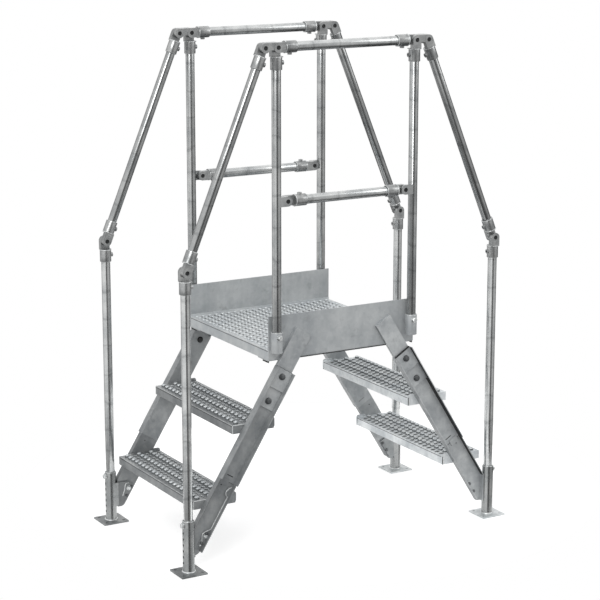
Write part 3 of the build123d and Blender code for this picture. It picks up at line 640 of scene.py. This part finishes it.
def grow(name, mesh, tree, values):
    """Runs a tree on a mesh and keeps the plain result as a piece of the ladder."""
    source = put_object(name + "_source", mesh)
    modifier = source.modifiers.new("grow", "NODES")
    modifier.node_group = tree
    keys = {s.name: s.identifier for s in tree.interface.items_tree
            if s.item_type == "SOCKET" and s.in_out == "INPUT"}
    for label, value in values.items():
        modifier[keys[label]] = value
    source.update_tag()
    bpy.context.view_layer.update()
    graph = bpy.context.evaluated_depsgraph_get()
    result = bpy.data.meshes.new_from_object(source.evaluated_get(graph), depsgraph=graph)
    source.modifiers.remove(modifier)
    bpy.data.objects.remove(source)
    result.name = name
    piece = put_object(name, result)
    settle(piece)
    return piece


def point_cloud(name, points):
    """Loose vertices, each with the direction that its fastener looks along."""
    mesh = bpy.data.meshes.new(name)
    mesh.from_pydata([tuple(p) for p, _ in points], [], [])
    aim = mesh.attributes.new("aim", "FLOAT_VECTOR", "POINT")
    for item, (_, direction) in zip(aim.data, points):
        item.vector = direction
    return mesh


def path_mesh(name, paths):
    """Edges along each path; a path is (points, closed)."""
    verts, edges = [], []
    for points, closed in paths:
        start = len(verts)
        verts += [tuple(p) for p in points]
        edges += [(start + i, start + i + 1) for i in range(len(points) - 1)]
        if closed:
            edges.append((len(verts) - 1, start))
    mesh = bpy.data.meshes.new(name)
    mesh.from_pydata(verts, edges, [])
    return mesh


def line(first, last):
    """Straight path."""
    return [Vector(first), Vector(last)], False


def ring_path(center, axis, radius, count=40):
    """Closed ring of points about an axis."""
    axis = Vector(axis).normalized()
    side = axis.orthogonal().normalized()
    other = axis.cross(side)
    steps = [2 * math.pi * i / count for i in range(count)]
    return [Vector(center) + radius * (math.cos(a) * side + math.sin(a) * other) for a in steps], True


def bent(spots, out, sides, steps=6):
    """Smooth path through spots on a flight, for a bead that bends."""
    points = [on_flight(along, across, out, sides) for along, across in spots]
    ends = [points[0], *points, points[-1]]
    run = []
    for a, b, c, d in zip(ends, ends[1:], ends[2:], ends[3:]):
        for t in (k / steps for k in range(steps)):
            square, cube = 2 * a - 5 * b + 4 * c - d, 3 * b - a - 3 * c + d
            run.append(0.5 * (2 * b + (c - a) * t + square * t * t + cube * t ** 3))
    return run + [points[-1]], False


def beads(name, paths, finish, radius, uneven=0.0002, step=0.003):
    """Beads along paths, as one piece."""
    grow(name, path_mesh(name, paths), bead_tree(), {
        "Radius": radius, "Uneven": uneven, "Step": step, "Material": look(finish)})


def flight_boxes(name, finish, blocks):
    """Flat pieces on the flights; a block is (along low, high, across low, high, out low, high, sides)."""
    build = bmesh.new()
    for s_low, s_high, t_low, t_high, out_low, out_high, sides in blocks:
        corners = [build.verts.new(on_flight(a, b, c, sides))
                   for a in (s_low, s_high) for b in (t_low, t_high) for c in (out_low, out_high)]
        for loop in ((0, 1, 3, 2), (4, 6, 7, 5), (0, 4, 5, 1), (2, 3, 7, 6), (0, 2, 6, 4), (1, 5, 7, 3)):
            build.faces.new([corners[i] for i in loop])
    bmesh.ops.recalc_face_normals(build, faces=build.faces)
    mesh = bpy.data.meshes.new(name)
    build.to_mesh(mesh)
    build.free()
    mesh.materials.append(look(finish))
    settle(put_object(name, mesh))


# ---------------------------------------------------------------- steps


class LADDER_OT_zinc(bpy.types.Operator):
    """Gives every frame piece its galvanised finish and softens its edges"""

    bl_idname = "ladder.zinc"
    bl_label = "Zinc Finish"

    def execute(self, context):
        width = context.scene.ladder_zinc.edge_round
        for name, node in NODES.items():
            finish = next(finish for start, finish in PIECE_FINISHES if name.startswith(start))
            node.data.materials.clear()
            node.data.materials.append(look(finish.format("left" if "left" in name else "right")))
            self.soften(node, width * (2.2 if finish == "zinc_casting" else 1.0))
        return {"FINISHED"}

    def soften(self, node, width):
        """Welds the loose triangles in passing and rounds the sharp edges."""
        weld = node.modifiers.new("weld", "WELD")
        weld.merge_threshold = 0.00001
        flat = node.modifiers.new("flat", "DECIMATE")
        flat.decimate_type = "DISSOLVE"
        flat.angle_limit = math.radians(1.0)
        edge = node.modifiers.new("edge", "BEVEL")
        edge.width = width
        edge.segments = 2
        edge.limit_method = "ANGLE"
        edge.angle_limit = math.radians(40)


class LADDER_OT_grip(bpy.types.Operator):
    """Sets the raised ring buttons and the pierced holes on the treads and the deck, the holes and the buttons'
    hollows as dark discs of painted shade
    """

    bl_idname = "ladder.grip"
    bl_label = "Grip Buttons"

    def execute(self, context):
        grip = context.scene.ladder_grip
        for node in TREADS:
            side, nose, top, _ = tread_edges(node)
            columns, rows = TREAD_COLUMNS, TREAD_ROWS
            size = (columns - 1) * grip.tread_row, (rows - 1) * grip.tread_pitch
            center = Vector((side * (nose - NOSE_MARGIN - grip.tread_row), 0, top))
            field = (*size, columns, rows, center)
            self.rings(node + "_buttons", "zinc_button", field, grip.tread_radius, grip.tread_crown,
                       grip.tread_tall / grip.tread_crown, 14, 8)
            # Painted shade: a dark disc in each button's hollow, and dark discs for the pierced drains
            self.holes(node + "_cup_shade", field, grip.tread_radius - 0.001, 0.005)
            pierced = center - Vector((side * grip.tread_row / 2, 0, 0))
            field = (size[0], size[1] - grip.tread_pitch, columns, rows - 1, pierced)
            self.holes(node + "_drains", field, grip.drain_radius)
            self.rings(node + "_lips", "zinc_button", field, grip.drain_radius + 0.0008, 0.0013, 1.6, 16, 6)
        pitch = grip.deck_pitch
        for node in DECK_PANELS:
            side, _, top, _ = deck_edges(node)
            columns, rows = DECK_COLUMNS, DECK_ROWS
            center = Vector((side * DECK_CENTER, 0, top))
            field = ((columns - 1) * pitch, (rows - 1) * pitch, columns, rows, center)
            self.rings(node + "_buttons", "zinc_stud", field, grip.deck_radius, grip.deck_crown,
                       0.0034 / grip.deck_crown, 10, 6)
            # Painted shade: a dark disc in each stud's hollow, and dark discs for the deck's drains
            self.holes(node + "_holes", field, grip.deck_radius - 0.0008, 0.0008)
            field = ((columns - 2) * pitch, (rows - 2) * pitch, columns - 1, rows - 1, center)
            self.holes(node + "_drains", field, 0.0046)
        return {"FINISHED"}

    def rings(self, name, finish, field, radius, crown, flatten, around, across):
        """Field of ring buttons; a field is (width, length, columns, rows, center)."""
        piece = self.spread_out(name, button_tree(), field, {
            "Radius": radius, "Crown": crown, "Flatten": flatten, "Around": around, "Across": across,
            "Material": look(finish)})
        for face in piece.data.polygons:
            face.use_smooth = True

    def holes(self, name, field, radius, above=0.0):
        """Field of dark discs of painted shade, above the surface by so much."""
        field = (*field[:4], field[4] + Vector((0, 0, above)))
        self.spread_out(name, disc_tree(), field, {
            "Radius": radius, "Thickness": 0.0008, "Material": look("hole_shadow")})

    def spread_out(self, name, tree, field, values):
        """Grows a field of copies."""
        width, length, columns, rows, center = field
        return grow(name, bpy.data.meshes.new(name + "_seed"), tree, {
            "Width": width, "Length": length, "Columns": columns, "Rows": rows, "Center": tuple(center),
            **values})


# Bolt heads by piece: finish, sides, radius, height, washer radius and thickness, and chamfer.
# The set bolts take their radius and height from the settings.
HEADS = {
    "pivot_bolts": ("dull_bolt", 16, 0.0068, 0.0024, 0.0069, 0.0002, 0.82),
    "set_screws": ("dull_bolt", 12, 0.0034, 0.0008, 0.0037, 0.0004, 0.82),
    "set_bolts": ("zinc_fastener", 6, None, None, 0.0118, 0.0022, 0.82),
    "lap_bolts": ("zinc_dome", 20, 0.0112, 0.0062, 0.0122, 0.0012, 0.45),
    # Pin holes: dark plugs, painted shade
    "pin_holes": ("hole_shadow", 12, 0.0024, 0.0024, 0.0024, 0.0004, 0.82),
    "lap_nuts": ("dull_bolt", 6, 0.0098, 0.006, 0.012, 0.0016, 0.82),
    "clip_bolts": ("zinc_fastener", 6, 0.0075, 0.006, 0.0095, 0.0012, 0.82),
    "foot_bolts": ("zinc_dome", 6, 0.0058, 0.004, 0.0066, 0.001, 0.82),
}


class LADDER_OT_bolts(bpy.types.Operator):
    """Fits the pivot bolts, set screws, bolts and nuts, and the dark pin holes"""

    bl_idname = "ladder.bolts"
    bl_label = "Bolts"

    def execute(self, context):
        bolt = context.scene.ladder_fasteners
        points = {name: [] for name in HEADS}
        for sides in CORNERS:
            self.fit_rails(points, sides)
            self.fit_flight(points, sides)
        for name, (finish, count, radius, height, washer, thick, chamfer) in HEADS.items():
            grow(name, point_cloud(name, points[name]), bolt_tree(), {
                "Chamfer": chamfer, "Sides": count, "Radius": radius or bolt.head_radius,
                "Height": height or bolt.head_height, "Washer": washer, "Washer Thickness": thick,
                "Material": look(finish)})
        return {"FINISHED"}

    def fit_rails(self, points, sides):
        """Pivot bolts, set screws and set bolts of one corner's pipes."""
        x_side, y_side = sides
        elbow, corner, head, mid = fittings(sides)
        up = (head - elbow).normalized()
        inner = Vector((-x_side * up.z, 0, -abs(up.x)))
        inward, down = Vector((-x_side, 0, 0)), Vector((0, 0, -1))
        for pivot in (elbow, corner, head, mid):
            for face in (-1, 1):
                stand = MID_TAB_FACE if pivot is mid and face == y_side else LUG_HALF - PIVOT_SINK
                aim = Vector((0, face, 0))
                points["pivot_bolts"].append((pivot + aim * stand, aim))
        for pivot, run, aim in (
            (elbow, down, inward), (elbow, up, inner), (head, -up, inner), (corner, inward, down),
            (corner, down, inward), (mid, inward, Vector((0, 0, x_side * y_side))),
        ):
            points["set_screws"].append((pivot + run * BOSS_AT + aim * BOSS_TOP, aim))
        reach = SLEEVE_R - 0.001
        points["set_bolts"] += [
            (Vector((x_side * POST_X, y_side * (POST_Y + reach), POST_BOLT_Z)), Vector((0, y_side, 0))),
            (Vector((x_side * (FOOT_X + reach), y_side * POST_Y, FOOT_BOLT_Z)), Vector((x_side, 0, 0))),
        ]

    def fit_flight(self, points, sides):
        """Bolts, nuts and pin hole of one flight, and two bright clip bolts on a left one."""
        outward, back = Vector((0, sides[1], 0)), Vector((0, -sides[1], 0))
        for along, out in ((-0.204, CLAMP_Y), (-0.1056, PAN_Y)):
            points["lap_bolts"].append((on_flight(along, 0, out, sides), outward))
            points["lap_nuts"].append((on_flight(along, 0, WEB_Y, sides), back))
        if sides[0] < 0:
            points["clip_bolts"].append((on_flight(0.422, -0.030, BRACKET_Y, sides), outward))
            points["clip_bolts"].append((on_flight(0.421, -0.0181, GUSSET_Y, sides), back))
        for along in (0.412, 0.450):
            points["foot_bolts"].append((on_flight(along, -0.0261, BRACKET_Y, sides), outward))
            points["foot_bolts"].append((on_flight(along, -0.0261, GUSSET_Y, sides), back))
        points["pin_holes"].append((on_flight(0.2335, 0.011, WEB_Y + 0.0007, sides), outward))


# Bent beads of the left foot brackets' clip pieces, as (along, across): three outside and one inside; weld beads
# made bright as painted highlight, laid on the left flights only
OUTER_FOLDS = (
    ((0.2267, -0.0327), (0.2345, -0.0249), (0.249, -0.0199), (0.259, -0.0259), (0.2642, -0.0346)),
    ((0.2642, -0.0346), (0.3919, -0.0346)),
    ((0.3919, -0.0346), (0.4182, -0.0131), (0.448, -0.0269), (0.4627, -0.0255)),
)
INNER_FOLD = ((0.4037, -0.0077), (0.4137, 0.0021), (0.4342, -0.0055), (0.4595, -0.0114))


class LADDER_OT_welds(bpy.types.Operator):
    """Lays the weld beads of the feet and post sleeves, bright rings as painted highlights at the sleeves' tops
    and in the cups, and the bent beads of the left foot brackets' clip pieces as painted highlight
    """

    bl_idname = "ladder.welds"
    bl_label = "Welds"

    def execute(self, context):
        bolt = context.scene.ladder_fasteners
        feet, sleeves, rim_highlights, folds = [], [], [], []
        for sides in CORNERS:
            x_side, y_side = sides
            foot, post, y = x_side * FOOT_X, x_side * POST_X, y_side * POST_Y
            feet.append(ring_path((foot, y, PLATE_TOP), (0, 0, 1), SLEEVE_R + 0.0012))
            # Painted highlight: bright rings at the top rim of each sleeve
            rim_highlights.append(ring_path((foot, y, FOOT_SLEEVE_TOP), (0, 0, 1), SLEEVE_R - 0.0012))
            rim_highlights.append(ring_path((post, y, POST_SLEEVE[1]), (0, 0, 1), SLEEVE_R - 0.0012))
            for x in (post - 0.0105, post + 0.0105):
                low, high = ((x, y_side * 0.3062, z) for z in (POST_SLEEVE[0], POST_SLEEVE[1] - 0.0008))
                sleeves.append(line(low, high))
            elbow, corner, head, mid = fittings(sides)
            up = (head - elbow).normalized()
            down, inward = Vector((0, 0, -1)), Vector((-x_side, 0, 0))
            for pivot, run in (
                (elbow, down), (elbow, up), (head, -up), (mid, inward), (corner, inward), (corner, down),
            ):
                # Painted highlight: bright rings at each cup's mouth and floor
                rim_highlights.append(ring_path(pivot + run * CUP_MOUTH, run, SLEEVE_R - 0.0014))
                rim_highlights.append(ring_path(pivot + run * CUP_FLOOR, run, SLEEVE_R - 0.0003))
            # Painted highlight: bright bent beads on the left flights only
            if x_side < 0:
                folds += [bent(spots, BRACKET_Y + 0.0002, sides) for spots in OUTER_FOLDS]
                folds.append(bent(INNER_FOLD, GUSSET_Y - 0.0002, sides))
        beads("foot_welds", feet, "zinc_weld_and_highlight", bolt.weld_radius * 1.25, bolt.weld_uneven, 0.0028)
        beads("sleeve_welds", sleeves, "zinc_weld_and_highlight", bolt.weld_radius, bolt.weld_uneven)
        beads("sleeve_rim_highlights", rim_highlights, "zinc_weld_and_highlight", 0.0013)
        beads("bracket_highlight_beads", folds, "zinc_weld_and_highlight", 0.0016, 0.0003)
        return {"FINISHED"}


# Flat pieces of each flight, as low and high along, across and out: painted shade in the slot at the stringer's
# lower end and its zinc cover on the tread side, painted shade on the upper flange's inner faces and on the foot
# bracket's flange, a painted shade line inside its lower edge, and a painted shadow line where it laps over the
# stringer
SLOT = (0.18975, 0.19325, -0.020, 0.008, 0.3096, 0.3112)
SLOT_COVER = (0.1892, 0.1938, -0.0205, 0.0085, 0.3087, 0.3094)
FLANGE_SHADE = (
    (-0.2305, 0.2135, 0.0346, 0.03505, 0.3268, 0.3395),
    (-0.0780, 0.2135, 0.0346, 0.03505, 0.3126, 0.3268),
)
FOOT_FLANGE_SHADE = (0.2150, 0.4300, 0.0343, 0.03505, 0.3126, 0.3305)
FOOT_SHADE_LINE = (0.2450, 0.3700, -0.0300, -0.0290, 0.3120, 0.3123)
LAP_SHADOW_LINE = (0.2135, 0.2147, -0.0375, 0.0375, 0.3126, 0.3130)


class LADDER_OT_shade_and_highlight_lines(bpy.types.Operator):
    """Paints dark shade into the slots, onto the flanges' inner faces and at the ends of the laps, shadow lines
    under the side boards and the deck's ends, and shade and highlight lines at the right treads' rear corners
    """

    bl_idname = "ladder.linings"
    bl_label = "Dark Linings"

    def execute(self, context):
        dark, covers = [], []
        for sides in CORNERS:
            right = sides[0] > 0
            # Painted shadow line across the stringer's top end, on the leg bracket
            clamp_end_shadow = (-0.2338 if right else -0.2320, -0.2311, -0.0345, 0.0345, 0.3182, 0.3262)
            # The right flights get a painted shade line inside the foot bracket's lower edge
            foot_shade_lines = (FOOT_SHADE_LINE,) if right else ()
            blocks = (SLOT, *FLANGE_SHADE, clamp_end_shadow, FOOT_FLANGE_SHADE, *foot_shade_lines, LAP_SHADOW_LINE)
            dark += [(*block, sides) for block in blocks]
            covers.append((*SLOT_COVER, sides))
        flight_boxes("flight_painted_shade", "hole_shadow", dark)
        flight_boxes("slot_covers", "zinc_stringer_left", covers)
        edges, corners, deck_shadow_spots = [], [], []
        # Painted shadow lines along the lower edges of the side boards
        for y in (-0.3056, 0.3056):
            edges.append(line((-0.215, y, 0.7222), (0.215, y, 0.7222)))
        # Painted shadow strips under the ends of the deck
        for x_side in (-1, 1):
            for y_side in (-1, 1):
                deck_shadow_spots.append(line(*((x_side * 0.3030, y_side * y, 0.7180) for y in (0.262, 0.300))))
        for node in TREADS:
            side, nose, top, reach = tread_edges(node)
            back = nose - TREAD_DEPTH
            # At the right treads' rear corners: a painted highlight line and a painted shade line
            if side > 0:
                for y in (-reach, reach):
                    corners.append(line((back + 0.006, y, top - 0.031), (back + 0.006, y, top - 0.001)))
                    edges.append(line((back, y, top - 0.031), (back, y, top - 0.001)))
        beads("edge_shadow_lines", edges, "hole_shadow", 0.0015, step=0.01)
        beads("deck_end_shadows", deck_shadow_spots, "hole_shadow", 0.0030, step=0.01)
        beads("tread_corner_highlights", corners, "zinc_weld_and_highlight", 0.0016, step=0.01)
        return {"FINISHED"}


class LADDER_OT_nosings(bpy.types.Operator):
    """Adds bright beads along the rolled nosing edges as painted highlights, and the painted shadow lines behind
    them
    """

    bl_idname = "ladder.nosings"
    bl_label = "Nosings"

    def execute(self, context):
        roll_highlights, shadow_seams = [], []
        for node in TREADS:
            side, nose, top, reach = tread_edges(node)
            self.across(roll_highlights, side * (nose - 0.0014), top - 0.0014, reach - 0.001)
            self.across(shadow_seams, side * nose, top - 0.0045, reach - 0.002)
            # On the left treads, painted highlights down and along their end corners
            if side < 0:
                for y in (-reach * 0.9985, reach * 0.9985):
                    x = side * (nose - 0.001)
                    roll_highlights.append(line((x, y, top - 0.002), (x, y, top - 0.031)))
                    roll_highlights.append(line(*((side * (nose - away), y, top - 0.001) for away in (0.002, 0.060))))
            self.across(shadow_seams, side * (nose - TREAD_DEPTH), top - 0.0032, reach - 0.002)
        for node in DECK_PANELS:
            side, nose, top, reach = deck_edges(node)
            self.across(roll_highlights, side * (nose - 0.0014), top - 0.0014, reach)
            self.across(shadow_seams, side * nose, top - 0.0048, reach)
        beads("nosing_highlights", roll_highlights, "zinc_weld_and_highlight", 0.0016, step=0.02)
        beads("nosing_shadow_lines", shadow_seams, "hole_shadow", 0.0009, 0.0001, 0.02)
        return {"FINISHED"}

    def across(self, paths, x, z, reach):
        """Adds a line from the front to the rear."""
        paths.append(line((x, -reach, z), (x, reach, z)))


# ---------------------------------------------------------------- studio

# Directions about the ladder, level with the floor
CARD = (-0.139, -0.990, 0)
RIGHT = (0.866, -0.5, 0)
BEHIND = (0.5, 0.866, 0)
FLOOR_GLOW = 0.45
LAMPS = (("key_lamp", (-4.2, -4.4, 5.0), 150.0), ("fill_lamp", (4.5, -3.0, 4.0), 50.0))


class LADDER_OT_studio(bpy.types.Operator):
    """Builds the pale floor, the soft light and the camera"""

    bl_idname = "ladder.studio"
    bl_label = "Studio"

    def execute(self, context):
        studio = context.scene.ladder_studio
        self.floor(studio)
        self.world(context)
        self.lamps()
        data = bpy.data.cameras.new("ladder_camera")
        data.sensor_width = 36
        data.sensor_fit = "HORIZONTAL"
        data.lens = studio.lens
        data.clip_end = 200
        camera = put_object("ladder_camera", data)
        camera.location = studio.camera_place
        camera.rotation_euler = (math.pi / 2 + studio.camera_tilt, 0, studio.camera_turn)
        context.scene.camera = camera
        context.scene.view_settings.view_transform = "Standard"
        return {"FINISHED"}

    def floor(self, studio):
        """Round pale floor that shows as plain white to the camera and keeps the shadow."""
        mesh = bpy.data.meshes.new("studio_floor")
        build = bmesh.new()
        bmesh.ops.create_circle(build, cap_ends=True, segments=96, radius=studio.floor_size / 2)
        build.to_mesh(mesh)
        build.free()
        floor = put_object("studio_floor", mesh)
        floor.location = studio.floor_place
        material, tree, _ = new_material("studio_floor")
        tree.nodes.remove(tree.nodes["Principled BSDF"])
        matt = add_node(tree, "ShaderNodeBsdfDiffuse", {"Color": (*studio.floor_color, 1)})
        rays = add_node(tree, "ShaderNodeLightPath").outputs
        seen = maths(tree, "ADD", rays["Is Camera Ray"], rays["Is Glossy Ray"])
        seen = maths(tree, "ADD", seen, rays["Is Transmission Ray"])
        glow = add_node(tree, "ShaderNodeEmission", {"Strength": maths(tree, "MULTIPLY", seen, FLOOR_GLOW)})
        both = add_node(tree, "ShaderNodeAddShader", {0: matt.outputs[0], 1: glow.outputs[0]})
        link(tree, both.outputs[0], tree.nodes["Material Output"].inputs["Surface"])
        mesh.materials.append(material)

    def world(self, context):
        """Pale surroundings with a darker side, which draws the dark line down each pipe."""
        world = bpy.data.worlds.new("studio_world")
        context.scene.world = world
        world.use_nodes = True
        tree = world.node_tree
        tree.nodes.clear()
        place = add_node(tree, "ShaderNodeTexCoord").outputs["Generated"]
        split = add_node(tree, "ShaderNodeSeparateXYZ", {0: place}).outputs
        flat = add_node(tree, "ShaderNodeCombineXYZ", {"X": split["X"], "Y": split["Y"]})
        level = add_node(tree, "ShaderNodeVectorMath", {0: flat.outputs[0]}, operation="NORMALIZE")

        def toward(direction, low, high, new_low=0.0, new_high=1.0):
            feeds = {0: level.outputs["Vector"], 1: direction}
            near = add_node(tree, "ShaderNodeVectorMath", feeds, operation="DOT_PRODUCT")
            return spread(tree, near.outputs["Value"], low, high, new_low, new_high)

        card = maths(tree, "MULTIPLY", toward(CARD, 0.925, 0.965), spread(tree, split["Z"], 0.5, 0.75, 1.0, 0.0))
        flank = maths(tree, "MULTIPLY", toward(BEHIND, 0.1, 0.4), 0.4)
        sides = maths(tree, "SUBTRACT", toward(RIGHT, -0.15, 0.35, 1.0, 0.56), flank)
        sides = maths(tree, "MAXIMUM", sides, toward(BEHIND, 0.88, 0.97))
        sides = maths(tree, "MAXIMUM", sides, spread(tree, split["Z"], 0.25, 0.7))
        ground = spread(tree, split["Z"], -0.55, -0.30, 0.22, 1.0)
        shade = maths(tree, "SUBTRACT", 1.0, maths(tree, "MULTIPLY", card, 0.9))
        mirror = maths(tree, "MULTIPLY", maths(tree, "MULTIPLY", sides, shade), ground)
        plain = spread(tree, split["Z"], -0.2, 0.9, 0.72, 0.95)
        rays = add_node(tree, "ShaderNodeLightPath").outputs
        light = chosen(tree, rays["Is Glossy Ray"], plain, mirror)
        light = chosen(tree, rays["Is Camera Ray"], light, 1.0)
        back = add_node(tree, "ShaderNodeBackground", {"Color": (1, 1, 1, 1), "Strength": light})
        add_node(tree, "ShaderNodeOutputWorld", {"Surface": back.outputs[0]})

    def lamps(self):
        """Two large soft lamps: one high at the front left, one fainter at the right."""
        for name, place, energy in LAMPS:
            data = bpy.data.lights.new(name, "AREA")
            data.energy = energy
            data.size = 3.0
            lamp = put_object(name, data)
            lamp.location = place
            aim = Vector((0, 0, 0.9)) - Vector(place)
            lamp.rotation_euler = aim.to_track_quat("-Z", "Y").to_euler()


class LADDER_PT_panel(bpy.types.Panel):
    """Lists the ladder's steps in the sidebar"""

    bl_label = "Crossover Ladder"
    bl_idname = "LADDER_PT_panel"
    bl_space_type = "VIEW_3D"
    bl_region_type = "UI"
    bl_category = "Ladder"

    def draw(self, context):
        layout = self.layout
        for step in STEPS:
            layout.operator(step.bl_idname)


STEPS = (LADDER_OT_zinc, LADDER_OT_grip, LADDER_OT_bolts, LADDER_OT_welds, LADDER_OT_shade_and_highlight_lines, LADDER_OT_nosings,
         LADDER_OT_studio)
GROUPS = {
    "ladder_zinc": ZincSettings,
    "ladder_grip": GripSettings,
    "ladder_fasteners": FastenerSettings,
    "ladder_studio": StudioSettings,
}


def register():
    """Registers the settings, the steps and the panel."""
    for name, group in GROUPS.items():
        bpy.utils.register_class(group)
        setattr(bpy.types.Scene, name, bpy.props.PointerProperty(type=group))
    for step in STEPS + (LADDER_PT_panel,):
        bpy.utils.register_class(step)


def unregister():
    """Takes them all off again."""
    for step in reversed(STEPS + (LADDER_PT_panel,)):
        bpy.utils.unregister_class(step)
    for name, group in GROUPS.items():
        delattr(bpy.types.Scene, name)
        bpy.utils.unregister_class(group)


def main():
    """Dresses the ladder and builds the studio."""
    register()
    bpy.ops.ladder.zinc()
    bpy.ops.ladder.grip()
    bpy.ops.ladder.bolts()
    bpy.ops.ladder.welds()
    bpy.ops.ladder.linings()
    bpy.ops.ladder.nosings()
    bpy.ops.ladder.studio()


if __name__ == "__main__":
    main()
